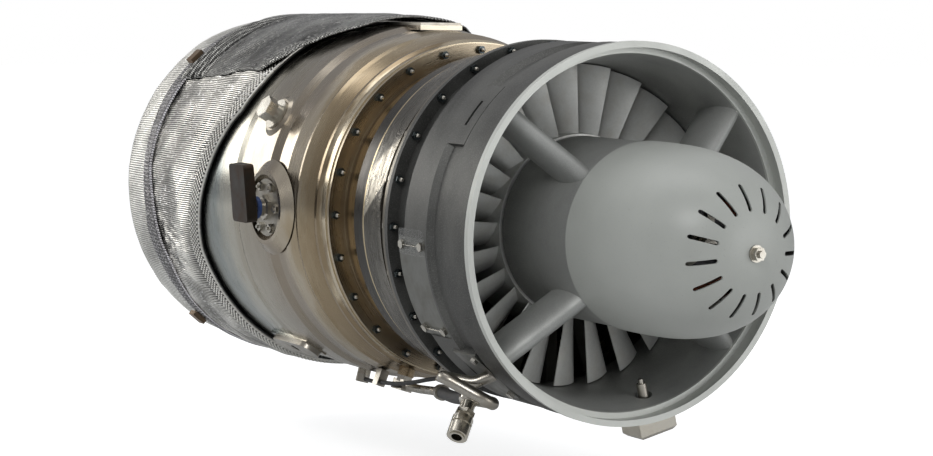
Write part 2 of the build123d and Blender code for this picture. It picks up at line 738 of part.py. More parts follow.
def cage_ring(pitch_r, start):
    """The ring of a bearing cage, beside the rolling parts that it spaces."""
    inner = pitch_r - CAGE_T
    outer = pitch_r + CAGE_T
    return turned((inner, start), (outer, start), (outer, start + CAGE_T), (inner, start + CAGE_T))


def roller_race(inner, outer):
    """A race of the rear bearing."""
    end = REAR_BEARING_Y + REAR_BEARING_W
    return turned((inner, REAR_BEARING_Y), (outer, REAR_BEARING_Y), (outer, end), (inner, end))


def rear_bearing_inner():
    return roller_race(REAR_SHAFT_R + SEAT_GAP, ROLLER_PITCH_R - ROLLER_R - BEARING_GAP)


def rear_bearing_outer():
    return roller_race(ROLLER_PITCH_R + ROLLER_R + BEARING_GAP, REAR_BEARING_OR - SEAT_GAP)


def rear_bearing_rollers():
    """The rollers and the crown ring that spaces them."""
    middle = REAR_BEARING_Y + REAR_BEARING_W / 2
    roller = Pos(0, middle, ROLLER_PITCH_R) * Rot(90, 0, 0) * Cylinder(ROLLER_R, ROLLER_L)
    ring = cage_ring(ROLLER_PITCH_R, middle + ROLLER_L / 2 + SEAT_GAP)
    return Compound(children=[ring] + around(roller, ROLLER_COUNT))


# Compressor

def blade_section(radius, lead_y, chord, stagger, thick, camber):
    """The first rotor's blade at one radius: two arcs between a thin leading and trailing edge."""
    turn = math.radians(stagger)
    along = Vector(-math.sin(turn), math.cos(turn))
    across = Vector(-math.cos(turn), -math.sin(turn))
    lead = Vector(0, lead_y)
    trail = lead + along * chord
    middle = lead + along * (chord / 2)
    edge = across * (BLADE_EDGE / 2)
    return Pos(0, 0, radius) * make_face([
        ThreePointArc(lead + edge, middle + across * (camber + thick / 2), trail + edge),
        Line(trail + edge, trail - edge),
        ThreePointArc(trail - edge, middle + across * (camber - thick / 2), lead - edge),
        Line(lead - edge, lead + edge)])


def disc(first, last, hub_start, hub_end):
    """A compressor disc: hub on the shaft, thin web, and a rim that follows the gas path."""
    y0, r0 = HUB_LINE[first]
    y1, r1 = HUB_LINE[last]
    middle = (y0 + y1) / 2
    bore = DRUM_SHAFT_R + SEAT_GAP
    front = middle - DISC_WEB_T / 2
    back = middle + DISC_WEB_T / 2
    return turned(
        (r0, y0), (r1, y1), (r1 - RIM_WALL, y1), (hub_line(back) - RIM_WALL, back), (DISC_HUB_R, back),
        (DISC_HUB_R, hub_end), (bore, hub_end), (bore, hub_start), (DISC_HUB_R, hub_start), (DISC_HUB_R, front),
        (hub_line(front) - RIM_WALL, front), (r0 - RIM_WALL, y0))


def rotor_1():
    """The first rotor, cast in one with its twisted blades, which show in the intake."""
    root = blade_section(HUB_LINE[0][1] - RIM_WALL / 2, **BLADE_ROOT)
    tip = blade_section(DUCT_R, **BLADE_TIP)
    blade = loft([root, tip], ruled=True) & inside(DUCT_R - TIP_GAP)
    return disc(0, 2, drum_front(), HUB_LINE[2][0]) + around(blade, BLADE_COUNT)


def bladed_disc(first, last, hub_end, count, tip_r):
    """A hidden compressor disc with its straight blades; its rim runs on under the next still row."""
    start, root_r = HUB_LINE[first]
    lead = start + BLADE_INSET["front"]
    trail = HUB_LINE[first + 1][0] - BLADE_INSET["back"]
    foot = root_r - RIM_WALL / 2
    tip = flat_tip(tip_r, lead, trail, -BLADE_STAGGER)
    return disc(first, last, start, hub_end) + blade_row(count, foot, tip, lead, trail, -BLADE_STAGGER)


def rotor_2():
    return bladed_disc(2, 4, HUB_LINE[4][0], STAGE_2_BLADE_COUNT, STAGE_2_R - TIP_GAP)


def rotor_3():
    return bladed_disc(4, 5, shaft_collar(), STAGE_3_BLADE_COUNT, STAGE_3_REAR_R - TIP_GAP)


def vane_ring(start, end, outer_r, wall):
    """A still row: a ring with vanes that reach in to the turning drum."""
    gas_r = outer_r - wall
    drum_r = hub_line(end) + STATOR_OVERHANG
    ring = turned((gas_r, start), (outer_r, start), (outer_r, end), (gas_r, end))
    foot_r = gas_r + wall / 2
    return ring + blade_row(VANE_COUNT, drum_r, foot_r, start + VANE_INSET, end - VANE_INSET, VANE_STAGGER)


def stator_vanes_1():
    return vane_ring(hub_seat_1(), FRONT_JOINT, DUCT_R + VANE_RING_T - SEAT_GAP, VANE_RING_T)


def stator_vanes_2():
    start, end = ring_2_span()
    return vane_ring(start, end, STAGE_2_R - SEAT_GAP, VANE_RING_2_T)


def ring_2_span():
    """Front and back of the second vane ring."""
    return HUB_LINE[3][0] + STAGE_GAP, HUB_LINE[4][0] - STAGE_GAP


def guide_vane_start():
    return HUB_LINE[5][0] + STAGE_GAP


def outlet_guide_vanes():
    """The last still row, whose inner ring carries the inner casing."""
    start = guide_vane_start()
    outer_r = STAGE_3_REAR_R + VANE_RING_T - SEAT_GAP
    inner_r = hub_line(start)
    outer = turned((STAGE_3_REAR_R, start), (outer_r, start), (outer_r, REAR_JOINT), (STAGE_3_REAR_R, REAR_JOINT))
    bore_r = inner_r - GUIDE_RING_T
    inner = turned((bore_r, start), (inner_r, start), (inner_r, REAR_JOINT), (bore_r, REAR_JOINT))
    lead = start + GUIDE_VANE_INSET
    trail = REAR_JOINT - GUIDE_VANE_INSET
    foot_r = inner_r - GUIDE_RING_T / 3
    tip_r = STAGE_3_REAR_R + VANE_RING_T / 3
    return outer + inner + blade_row(GUIDE_VANE_COUNT, foot_r, tip_r, lead, trail, GUIDE_VANE_STAGGER)


def compressor_casing():
    """The turned casing round rotors two and three, with a flange at each end."""
    ring_end = ring_2_span()[1]
    guide = guide_vane_start()
    guide_r = STAGE_3_REAR_R + VANE_RING_T
    flange_back = FRONT_JOINT + CASING_FLANGE_T
    rear_flange = REAR_JOINT - FLANGE_T
    step_end = CASING_STEP_Y + CASING_R - CASING_BAND_R
    return turned(
        (STAGE_2_R, FRONT_JOINT), (FLANGE_R, FRONT_JOINT), (FLANGE_R, flange_back), (CASING_R, flange_back),
        (CASING_R, CASING_STEP_Y), (CASING_BAND_R, step_end), (CASING_BAND_R, guide), (WAIST_R, guide + WAIST_FALL),
        (WAIST_R, rear_flange), (REAR_FLANGE_R, rear_flange), (REAR_FLANGE_R, REAR_JOINT), (guide_r, REAR_JOINT),
        (guide_r, guide), (STAGE_3_REAR_R, guide), (STAGE_3_FRONT_R, ring_end), (STAGE_2_R, ring_end)
    ) + sensor_socket()


def sensor_socket():
    """The boss on the casing where the sensor lead ends."""
    foot = CASING_BAND_R - FLANGE_T / 2
    return seat(SOCKET["angle"], SOCKET["y"], foot) * stub(LEAD_R * 2, socket_top() - foot)


def socket_top():
    return CASING_BAND_R + FITTING_H


def casing_strap():
    """The thin metal strap round the casing, with its lapped end."""
    inner = CASING_R + SEAT_GAP
    outer = inner + STRAP_T
    band = turned((inner, STRAP_START), (outer, STRAP_START), (outer, STRAP_END), (inner, STRAP_END))
    foot = outer - STRAP_T / 2
    top = outer + STRAP_T / 2
    start = STRAP_START + STRAP_T
    end = STRAP_END - STRAP_T
    return band + patch(*STRAP_LAP, (foot, start), (top, start), (top, end), (foot, end))


# Combustor

def case_outline():
    """Outside of the combustor casing, as (radius, y), from its front flange to its rear cylinder."""
    swages = [(CASE_FLANGE_R + rise, REAR_JOINT + along) for rise, along in CASE_SWAGES]
    band = [(CASE_BAND_R, y) for y in CASE_BAND]
    band_end = CASE_BAND[1]
    return swages + band + [(CASE_R - 1, band_end + 8), (CASE_R, band_end + 16)]


def case_radius(y):
    """Outside radius of the combustor casing at y."""
    return on_axis([(place, radius) for radius, place in case_outline()], y)


def combustor_casing():
    """The welded outer casing, with its swages, the bosses and the port for the side mount."""
    outline = case_outline()
    joint = TURBINE_JOINT - FLANGE_T
    lip = STAGE_3_REAR_R
    bore = [(radius - CASE_T, y) for radius, y in (outline[1], outline[6], outline[-3])]
    shell = turned(*outline, (CASE_R, joint), (TURBINE_FLANGE_R, joint), (TURBINE_FLANGE_R, TURBINE_JOINT),
                   (CASE_R - CASE_T, TURBINE_JOINT), (CASE_R - CASE_T, outline[-1][1]), *reversed(bore),
                   (CASE_FLANGE_R - CASE_T, REAR_JOINT + FLANGE_T), (lip, REAR_JOINT + FLANGE_T), (lip, REAR_JOINT))
    shell += boss(SIDE_PORT, PORT_R, port_face(), BOSS_SPREAD)
    shell += boss(IGNITER, IGNITER_BOSS_R, igniter_face(), BOSS_SPREAD)
    shell += boss(FEED, FEED_PIPE_R * 2, FEED_TOP)
    shell += boss(GLAND, CONNECTOR_R, gland_top())
    shell += pad(LOWER_PAD, lower_pad_top())
    shell += pad(TOP_PAD, top_pad_top())
    shell -= on_boss(SIDE_PORT, port_floor()) * stub(PORT_BORE_R, CASE_R)
    shell -= on_boss(IGNITER, LINER_R) * stub(IGNITER_R + SEAT_GAP, CASE_R)
    shell -= on_boss(FEED, LINER_R) * stub(FEED_PIPE_R + SEAT_GAP, CASE_R)
    return shell


def on_boss(place, radius):
    """A place at a fitting of the casing: local Z points outwards."""
    return seat(place["angle"], place["y"], radius)


def boss(place, radius, top, spread=0.0):
    """A round boss that grows out of the casing's wall, wider at its foot."""
    foot = case_radius(place["y"]) - CASE_T - BOSS_WALL / 3
    height = top - foot
    if spread == 0:
        return on_boss(place, foot) * stub(radius, height)
    return on_boss(place, foot) * Cone(radius + spread, radius, height, align=(Align.CENTER, Align.CENTER, Align.MIN))


def pad(place, top):
    """A flat pad that grows out of the casing's wall."""
    foot = math.sqrt(case_radius(place["y"]) ** 2 - (place["width"] / 2) ** 2) - CASE_T
    return on_boss(place, foot) * block(place["width"], place["length"], top - foot)


def port_face():
    """Face of the side port, proud of the casing's broad band."""
    return CASE_BAND_R + PORT_RISE


def port_floor():
    return port_face() - PORT_DEPTH


def igniter_face():
    return case_radius(IGNITER["y"]) + IGNITER_BOSS_H


def gland_top():
    return case_radius(GLAND["y"]) + FITTING_H


def lower_pad_top():
    return case_radius(LOWER_PAD["y"]) + BRACKET_T


def top_pad_top():
    return case_radius(TOP_PAD["y"]) + TOP_PAD_RISE


def inner_casing():
    """The casing inside the flame tube; its web carries the rear bearing."""
    start_r = hub_line(REAR_JOINT)
    boss_r = REAR_BEARING_OR + BOSS_WALL / 2
    shoulder_r = REAR_BEARING_OR - SHOULDER
    wall = INNER_CASE_T
    end = REAR_BEARING_Y + REAR_BEARING_W
    web = REAR_BEARING_Y - SHOULDER
    cone_end = REAR_JOINT + INNER_CONE_L
    return turned(
        (start_r, REAR_JOINT), (start_r, REAR_JOINT + wall), (INNER_CASE_R, cone_end), (INNER_CASE_R, end - wall),
        (GAS_INNER_R, NOZZLE_Y - wall), (GAS_INNER_R, NOZZLE_Y), (GAS_INNER_R - wall * 2, NOZZLE_Y),
        (INNER_CASE_R - wall, end), (boss_r, end), (REAR_BEARING_OR, end), (REAR_BEARING_OR, REAR_BEARING_Y),
        (shoulder_r, REAR_BEARING_Y), (shoulder_r, web), (INNER_CASE_R - wall, web),
        (INNER_CASE_R - wall, cone_end), (start_r - wall * 2, REAR_JOINT + wall), (start_r - wall * 2, REAR_JOINT))


def flame_tube():
    """The ring-shaped flame tube, open at the back, with its air holes and injector holes."""
    t = LINER_T
    end = NOZZLE_Y - STAGE_GAP
    exit_r = GAS_INNER_R + BEARING_GAP * 2
    taper = NOZZLE_Y - LINER_TAPER_L
    front = LINER_FRONT
    cut_in, cut_back = LINER_SHOULDER
    corner = front + cut_back
    body = turned(
        (LINER_R, NOZZLE_Y), (LINER_R, corner), (LINER_R - cut_in, front), (LINER_INNER_R + cut_in, front),
        (LINER_INNER_R, corner), (LINER_INNER_R, taper), (exit_r, end), (exit_r + t, end),
        (LINER_INNER_R + t, taper), (LINER_INNER_R + t, corner), (LINER_INNER_R + cut_in, front + t),
        (LINER_R - cut_in, front + t), (LINER_R - t, corner), (LINER_R - t, NOZZLE_Y))
    hole = seat(0, LINER_HOLE_Y, MANIFOLD_R) * block(LINER_HOLE_W, LINER_HOLE_W, LINER_R)
    body -= around(hole, LINER_HOLE_COUNT)
    opening = facing_back(LINER_FRONT - t, MANIFOLD_R) * hexagon(INJECTOR_AF + 2 * BEARING_GAP, t * 4)
    body -= around(opening, INJECTOR_COUNT, 360 / INJECTOR_COUNT / 2)
    return body - on_boss(IGNITER, MANIFOLD_R) * stub(IGNITER_R + BEARING_GAP, LINER_R)


def fuel_manifold():
    """The fuel ring with its injectors and the feed that comes in through the casing."""
    back = MANIFOLD_Y + MANIFOLD_TUBE_R
    front = MANIFOLD_Y - MANIFOLD_TUBE_R
    ring = turned((MANIFOLD_R + MANIFOLD_TUBE_R, front), (MANIFOLD_R + MANIFOLD_TUBE_R, back),
                  (MANIFOLD_R - MANIFOLD_TUBE_R, back), (MANIFOLD_R - MANIFOLD_TUBE_R, front))
    injector = facing_back(back, MANIFOLD_R) * hexagon(INJECTOR_AF, INJECTOR_END - back)
    feed = on_boss(FEED, MANIFOLD_R) * stub(FEED_PIPE_R, FEED_TOP - MANIFOLD_R)
    link = seat(FEED["angle"], (MANIFOLD_Y + FEED["y"]) / 2, MANIFOLD_R) * block(
        FEED_PIPE_R * 2, FEED["y"] - MANIFOLD_Y, FEED_PIPE_R)
    return ring + around(injector, INJECTOR_COUNT, 360 / INJECTOR_COUNT / 2) + link + feed


def igniter_plug():
    """The plug: hexagon, neck and the body that reaches into the flame tube."""
    face = igniter_face()
    foot = LINER_R - BOSS_WALL
    washer_top = face + PLATE_T
    neck_top = face + IGNITER_NECK_H
    plug = on_boss(IGNITER, foot) * stub(IGNITER_R, face + 1 - foot)
    washer = on_boss(IGNITER, face) * stub(IGNITER_WASHER_R, PLATE_T)
    neck = on_boss(IGNITER, washer_top) * stub(IGNITER_NECK_R, neck_top - washer_top)
    return plug + washer + neck + on_boss(IGNITER, neck_top) * hexagon(IGNITER_AF, IGNITER_HEAD_H)


# Mounts on the combustor casing

def side_mount_adaptor():
    """The flange in the side port, with the neck that carries the block."""
    place = on_boss(SIDE_PORT, port_floor())
    neck = place * stub(ADAPTOR_NECK_R, BLOCK_STAND + PORT_DEPTH + BLOCK_T)
    beyond = block_place() * block(BLOCK_H * 2, BLOCK_H * 2, BLOCK_H)
    return place * stub(ADAPTOR_R, ADAPTOR_T) + (neck - beyond)


def side_mount_seal():
    """The blue ring round the neck."""
    place = on_boss(SIDE_PORT, port_face() + BLOCK_STAND - SEAL_W * 2)
    return place * (stub(ADAPTOR_NECK_R + SEAL_WALL, SEAL_W) - stub(ADAPTOR_NECK_R + SEAT_GAP, SEAL_W))


def block_place():
    """The middle of the side block's inner face; local Z points out of its outer face."""
    return on_boss(SIDE_PORT, port_face() + BLOCK_STAND) * Rot(0, BLOCK_CANT, 0)


def side_mount_block():
    """The steel block that the engine is held by at its side."""
    bar = fillet(block(BLOCK_H, BLOCK_L, BLOCK_T).edges().filter_by(Axis.Z), BLOCK_CORNER)
    return block_place() * Pos(BLOCK_LIFT, 0, 0) * bar


def lower_mount_bracket():
    """The long lug on the lower pad."""
    thick = BRACKET_T * 2
    plate = extrude(SlotOverall(LOWER_PAD["length"], LOWER_PAD["width"] - PAD_MARGIN, rotation=90), thick)
    return on_boss(LOWER_PAD, lower_pad_top()) * (plate - stub(LOWER_HOLE_R, thick))


def top_mount_bracket():
    """The flat plate on the top pad, where the engine hangs."""
    plate = block(TOP_PAD["width"] - PAD_MARGIN, TOP_PAD["length"] - PAD_MARGIN, BRACKET_T)
    reach_x, reach_y = [pitch / 2 for pitch in BRACKET_HOLES]
    holes = [Pos(x, y, 0) * stub(BRACKET_HOLE_R, BRACKET_T)
             for x in (-reach_x, reach_x) for y in (-reach_y, reach_y)]
    return on_boss(TOP_PAD, top_pad_top()) * (plate - holes)


# Turbine and exhaust

def turbine_nozzle():
    """The nozzle row, held by its wide flange in the turbine joint."""
    flange_back = TURBINE_JOINT + FLANGE_T
    wall_r = GAS_OUTER_R + GAS_RING_T
    bore_r = GAS_INNER_R - GAS_RING_T
    end = TURBINE_JOINT - HOT_BLADE_FOOT
    outer = turned((GAS_OUTER_R, NOZZLE_Y), (wall_r, NOZZLE_Y), (wall_r, TURBINE_JOINT),
                   (TURBINE_FLANGE_R, TURBINE_JOINT), (TURBINE_FLANGE_R, flange_back), (GAS_OUTER_R, flange_back))
    inner = turned((bore_r, NOZZLE_Y), (GAS_INNER_R, NOZZLE_Y), (GAS_INNER_R, end), (bore_r, end))
    vanes = blade_row(NOZZLE_VANE_COUNT, GAS_INNER_R - HOT_BLADE_FOOT, GAS_OUTER_R + HOT_BLADE_FOOT,
                      NOZZLE_Y + STAGE_GAP, end - STAGE_GAP, NOZZLE_STAGGER, HOT_BLADE_T)
    return outer + inner + vanes


def turbine_rotor():
    """The turbine wheel, cast in one with its blades."""
    bore = REAR_SHAFT_R + SEAT_GAP
    start = TURBINE_Y
    end = TURBINE_Y + TURBINE_W
    front = REAR_BEARING_Y + REAR_BEARING_W
    rim = GAS_INNER_R
    face_r, waist_r = [rim - depth for depth in TURBINE_RIM]
    wheel = turned(
        (bore, front), (DISC_HUB_R - DISC_WEB_T, front), (DISC_HUB_R, start), (waist_r, start + RIM_WALL),
        (face_r, start), (rim, start), (rim, end), (face_r, end), (waist_r, end - RIM_WALL), (DISC_HUB_R, end),
        (bore, end))
    lead = start + BLADE_EDGE
    trail = end - BLADE_EDGE
    tip = flat_tip(GAS_OUTER_R, lead, trail, -TURBINE_STAGGER)
    foot = rim - HOT_BLADE_FOOT
    return wheel + blade_row(TURBINE_BLADE_COUNT, foot, tip, lead, trail, -TURBINE_STAGGER, HOT_BLADE_T)


def shroud_bore():
    """Bore of the ring that the turbine blades run in, and of the jet pipe behind it."""
    return GAS_OUTER_R + TIP_GAP


def turbine_shroud():
    """The ring that the turbine blades run in."""
    joint = TURBINE_JOINT + FLANGE_T
    bore = shroud_bore()
    outer = bore + GAS_RING_T
    back = shroud_back()
    return turned((bore, joint), (TURBINE_FLANGE_R, joint), (TURBINE_FLANGE_R, back), (outer, back),
                  (outer, SHROUD_END), (bore, SHROUD_END))


def shroud_back():
    """Back face of the shroud's flange."""
    return TURBINE_JOINT + FLANGE_T + GAS_RING_T


def exhaust_casing():
    """The outer shell of the hot end, down to the jet nozzle's lip."""
    start = shroud_back()
    flange_end = start + GAS_RING_T
    t = REAR_SHELL_T
    roll = LIP_Y - LIP_ROLL
    return turned(
        (TURBINE_FLANGE_R, start), (TURBINE_FLANGE_R, flange_end), (REAR_SHELL_R, flange_end),
        (REAR_SHELL_R, SHOULDER_Y), (LIP_R + LIP_ROLL, roll), (LIP_R + t, LIP_Y), (LIP_R, LIP_Y), (LIP_R, roll - t),
        (REAR_SHELL_R - t, SHOULDER_Y - t / 2), (REAR_SHELL_R - t, start))


def jet_pipe():
    """The gas duct from the turbine to the nozzle."""
    bore = shroud_bore()
    t = REAR_SHELL_T
    end_r = LIP_R - t - SEAT_GAP
    straight = LIP_Y - PIPE_STRAIGHT
    return turned(
        (bore, SHROUD_END), (bore + t, SHROUD_END), (bore + t, PIPE_CONE_START), (end_r + t, straight),
        (end_r + t, LIP_Y), (end_r, LIP_Y), (end_r, straight), (bore, PIPE_CONE_START))


def tail_cone():
    """The cone behind the turbine, on four struts."""
    start = TURBINE_Y + TURBINE_W + STAGE_GAP
    t = REAR_SHELL_T
    middle = (start + CONE_TIP) / 2
    cone = turned((CONE_R, start), (CONE_WAIST_R, middle), (0, CONE_TIP), (0, CONE_TIP - t * 3),
                  (CONE_WAIST_R - t, middle), (CONE_R - t, start))
    section = kite(start + CONE_STRUT["start"], start + CONE_STRUT["end"], 0, CONE_STRUT["thick"])
    vane = Pos(0, 0, CONE_R - CONE_STRUT["foot"]) * extrude(section, shroud_bore())
    return cone + around(vane & inside(shroud_bore()), CONE_STRUT_COUNT, 45)


# Heat blanket

def blanket_edge():
    """Where the front blanket's slanting edge passes the engine's side."""
    return TOP_PAD["y"] + BLANKET_TOP_GAP + TOP_PAD["length"] / 2 + BLANKET_SLANT * BLANKET_R


def blanket_front():
    """The front blanket; its front edge slants forward towards the top."""
    bore = REAR_SHELL_R + SEAT_GAP
    flange_end = shroud_back() + GAS_RING_T + SEAT_GAP
    crown_r = BLANKET_R + BLANKET_CROWN
    body = turned(
        (BLANKET_BORE_R, BLANKET_FRONT_END), (BLANKET_R, BLANKET_FRONT_END), (crown_r, BLANKET_CROWN_Y),
        (BLANKET_R, TURBINE_JOINT), (seam_r(), BLANKET_SEAM), (bore, BLANKET_SEAM), (bore, flange_end),
        (BLANKET_BORE_R, flange_end))
    lean = math.degrees(math.atan(BLANKET_SLANT))
    reach = BLANKET_R * 4
    front = Pos(0, -reach / 2, 0) * Box(reach, reach, reach)
    slanting = Pos(0, blanket_edge(), 0) * Rot(lean, 0, 0) * front
    return body - (slanting & (Pos(0, BLANKET_LOW_Y, 0) * front))


def seam_r():
    """Radius of the two blankets where they meet."""
    return BLANKET_R - BAND_FALL


def blanket_flap():
    """The upper blanket panel, which laps over the front one."""
    inner = BLANKET_R + BLANKET_CROWN + BEARING_GAP
    outer = inner + FLAP_T
    end = BLANKET_SEAM - BAND_W
    body = patch(-FLAP_HALF_ANGLE, FLAP_HALF_ANGLE, (inner, FLAP_FRONT), (outer, FLAP_FRONT), (outer, end),
                 (inner, end))
    reach = BLANKET_R * 4
    wedge = Pos(0, FLAP_FRONT, BLANKET_R) * Rot(FLAP_LEAN, 0, 0) * Pos(0, -reach / 2, -reach / 2)
    return body - wedge * Box(reach, reach, reach)


def blanket_rear():
    """The rear blanket over the shoulder, with the laced band at its front."""
    bore = REAR_SHELL_R + SEAT_GAP
    start = BLANKET_SEAM
    end = start + BAND_W
    back_r = seam_r() - BAND_FALL
    return turned(
        (bore, start), (seam_r(), start), (seam_r(), start + BAND_FALL), (band_r(), start + 2 * BAND_FALL),
        (band_r(), end - BAND_FALL), (back_r, end), (back_r - BAND_FALL, SHOULDER_Y + LIP_ROLL),
        (back_r - LIP_ROLL, SHOULDER_Y + 2 * LIP_ROLL),
        (LIP_R + TAIL_EDGE + LIP_ROLL, LIP_Y - LIP_ROLL + BAND_FALL), (LIP_R + TAIL_EDGE, LIP_Y - LIP_ROLL),
        (bore, SHOULDER_Y + BEARING_GAP * 2))


def band_r():
    """Radius of the laced band."""
    return seam_r() + BAND_T


def blanket_lugs():
    """The brown clips that hook over the laced band."""
    lug = block(LUG["length"], LUG["width"], LUG["height"])
    return Compound(children=[seat(angle, BLANKET_SEAM + BAND_W / 2, band_r()) * lug for angle in LUG_ANGLES])


# Pipework under the intake

def fuel_pipe():
    """The twice bent pipe from the lower cover plate to the coupler's tee."""
    pipe = tube(PIPE_ROUTE, PIPE_R, PIPE_BEND_R)
    pipe -= seat(LOWER_PLATE["angle"], LOWER_PLATE["y"], 0) * block(
        LOWER_PLATE_L, LOWER_PLATE_L, LOWER_PLATE_R + PLATE_T)
    return pipe - Pos(*TEE) * Sphere(TEE_R + SEAT_GAP) - coupler_place() * stub(COUPLER_R + SEAT_GAP, COUPLER_L)


def along_hose(start):
    """A place on the hose's first run, with local Z along it."""
    direction = Vector(HOSE_ROUTE[1]) - Vector(TEE)
    return Location(Plane(origin=Vector(TEE) + direction.normalized() * start, z_dir=direction))


def coupler_place(start=0.0):
    """A place on the coupler's axis, with local Z towards its mouth."""
    direction = Vector(COUPLER_AXIS).normalized()
    return Location(Plane(origin=Vector(TEE) + direction * start, z_dir=direction))


def coupler_body():
    """The tee, the nipple for the hose and the socket of the quick coupler."""
    nut_end = sleeve_start() - SLEEVE_TRAVEL - SLEEVE_STOP
    body = Pos(*TEE) * Sphere(TEE_R) + along_hose(0) * stub(NIPPLE_R, NIPPLE_L)
    body += coupler_place() * stub(COUPLER_R, COUPLER_L)
    length = COUPLER_NUT["length"]
    body += coupler_place(nut_end - length) * hexagon(COUPLER_NUT["across"], length)
    return body - coupler_place(COUPLER_L - COUPLER_BORE_DEPTH) * stub(COUPLER_BORE_R, COUPLER_BORE_DEPTH)


def sleeve_start():
    """Where the sleeve's rear edge stands along the coupler when it is locked."""
    return COUPLER_L - SLEEVE_L


def coupler_sleeve():
    """The sleeve that is pulled back to let the mating half go."""
    length = SLEEVE_L - SLEEVE_END
    ring = stub(SLEEVE_R, length) - stub(COUPLER_R + SLEEVE_GAP, length)
    groove = stub(SLEEVE_R + SLEEVE_END, SLEEVE_GROOVE) - stub(SLEEVE_R - SLEEVE_END, SLEEVE_GROOVE)
    return coupler_place(sleeve_start()) * (ring - Pos(0, 0, length / 3) * groove)


def fuel_hose():
    """The hose from the tee to the feed pipe."""
    first = along_hose(NIPPLE_L + SEAT_GAP).position
    return cord("fuel_hose", [first] + list(HOSE_ROUTE[1:]), HOSE_R)


def feed_pipe():
    """The steel pipe along the casing, the collar on its front end and the union at its rear end."""
    first, second = Vector(FEED_ROUTE[0]), Vector(HOSE_ROUTE[-1]) - Vector(HOSE_ROUTE[-2])
    direction = second.normalized()
    start = first + direction * SEAT_GAP
    collar = Location(Plane(origin=start, z_dir=direction)) * stub(HOSE_R + COLLAR_WALL, COLLAR_L)
    place = on_boss(FEED, FEED_TOP)
    body = block(UNION["width"], UNION["reach"], UNION["height"])
    union = place * (hexagon(UNION["across"], UNION["length"]) + Pos(0, 0, UNION["start"]) * body)
    route = [start + direction * (COLLAR_L / 2)] + [Vector(point) for point in FEED_ROUTE[1:-1]]
    route += [(place * Pos(0, -UNION["reach"] / 4, UNION["start"] + UNION["height"] / 2)).position]
    return collar + tube(route, FEED_PIPE_R, FEED_PIPE_R * 4) + union


def lead_route():
    return [seat(angle, y, radius).position for angle, y, radius in LEAD_ROUTE]


def sensor_lead():
    """The sensor lead, held along the casing."""
    return cord("sensor_lead", lead_route(), LEAD_R)


def lead_clips():
    """The block that holds the lead on the casing, and the connectors at its two ends."""
    held = tube(lead_route(), LEAD_R + SEAT_GAP * 2, easy_bends(lead_route()))
    angle, y, radius = [point for point in LEAD_ROUTE if point[1] == CLIP_AT][0]
    foot = case_radius(y + CLIP_L / 2) + SEAT_GAP
    clip = seat(angle, y, foot) * block(CLIP_L, CLIP_L, radius + LEAD_R + CLIP_COVER - foot) - held
    first, last = LEAD_ROUTE[0], LEAD_ROUTE[-1]
    front = connector(first, first[1] - CONNECTOR_R, socket_top())
    rear = connector(last, last[1] + CONNECTOR_R, gland_top())
    return Compound(children=[clip, front - held, rear - held])


def connector(end, y, foot):
    """A round connector on its boss, whose side the lead's end meets."""
    return seat(end[0], y, foot) * stub(CONNECTOR_R, end[2] + LEAD_R + CONNECTOR_CAP - foot)


# Flange fasteners

def flange_nuts():
    """The nuts on the front faces of the two flanges."""
    nut = hexagon(NUT_AF, NUT_H)
    front = around(facing_front(FRONT_JOINT - FLANGE_T, FLANGE_BOLT_R) * nut, FLANGE_BOLT_COUNT)
    rear = around(facing_front(REAR_JOINT - FLANGE_T, REAR_BOLT_R) * nut, FLANGE_BOLT_COUNT)
    return Compound(children=front + rear)


def flange_bolts():
    """The bolt heads behind the front flange."""
    back = FRONT_JOINT + CASING_FLANGE_T
    head = facing_back(back, FLANGE_BOLT_R) * hexagon(NUT_AF, HEAD_H)
    return Compound(children=around(head, FLANGE_BOLT_COUNT))


PARTS = {
    "intake_casing": intake_casing, "nose_cowl": nose_cowl, "nose_support": nose_support, "nose_nut": nose_nut,
    "inlet_probe": inlet_probe, "probe_housing": probe_housing,
    "alternator_housing": alternator_housing, "alternator_core": alternator_core,
    "alternator_windings": alternator_windings, "alternator_rotor": alternator_rotor,
    "shaft": shaft, "shaft_nuts": shaft_nuts, "front_bearing_inner": front_bearing_inner,
    "front_bearing_outer": front_bearing_outer, "front_bearing_balls": front_bearing_balls,
    "rear_bearing_inner": rear_bearing_inner, "rear_bearing_outer": rear_bearing_outer,
    "rear_bearing_rollers": rear_bearing_rollers,
    "rotor_1": rotor_1, "rotor_2": rotor_2, "rotor_3": rotor_3, "stator_vanes_1": stator_vanes_1,
    "stator_vanes_2": stator_vanes_2, "outlet_guide_vanes": outlet_guide_vanes,
    "compressor_casing": compressor_casing, "casing_strap": casing_strap,
    "combustor_casing": combustor_casing, "inner_casing": inner_casing, "flame_tube": flame_tube,
    "fuel_manifold": fuel_manifold, "igniter_plug": igniter_plug,
    "side_mount_adaptor": side_mount_adaptor, "side_mount_seal": side_mount_seal,
    "side_mount_block": side_mount_block, "lower_mount_bracket": lower_mount_bracket,
    "top_mount_bracket": top_mount_bracket,
    "turbine_nozzle": turbine_nozzle, "turbine_rotor": turbine_rotor, "turbine_shroud": turbine_shroud,
    "exhaust_casing": exhaust_casing, "jet_pipe": jet_pipe, "tail_cone": tail_cone,
    "blanket_front": blanket_front, "blanket_flap": blanket_flap, "blanket_rear": blanket_rear,
    "blanket_lugs": blanket_lugs, "fuel_pipe": fuel_pipe, "coupler_body": coupler_body,
    "coupler_sleeve": coupler_sleeve, "fuel_hose": fuel_hose, "feed_pipe": feed_pipe,
    "sensor_lead": sensor_lead, "lead_clips": lead_clips, "side_cover_plate": side_cover_plate,
    "lower_cover_plate": lower_cover_plate, "cover_bolts": cover_bolts, "flange_nuts": flange_nuts,
    "flange_bolts": flange_bolts,
}

os.makedirs("parts", exist_ok=True)
for name, make in PARTS.items():
    shape = make()
    export_step(shape, f"parts/{name}.step")
    print(name, len(shape.solids()), round(shape.volume))
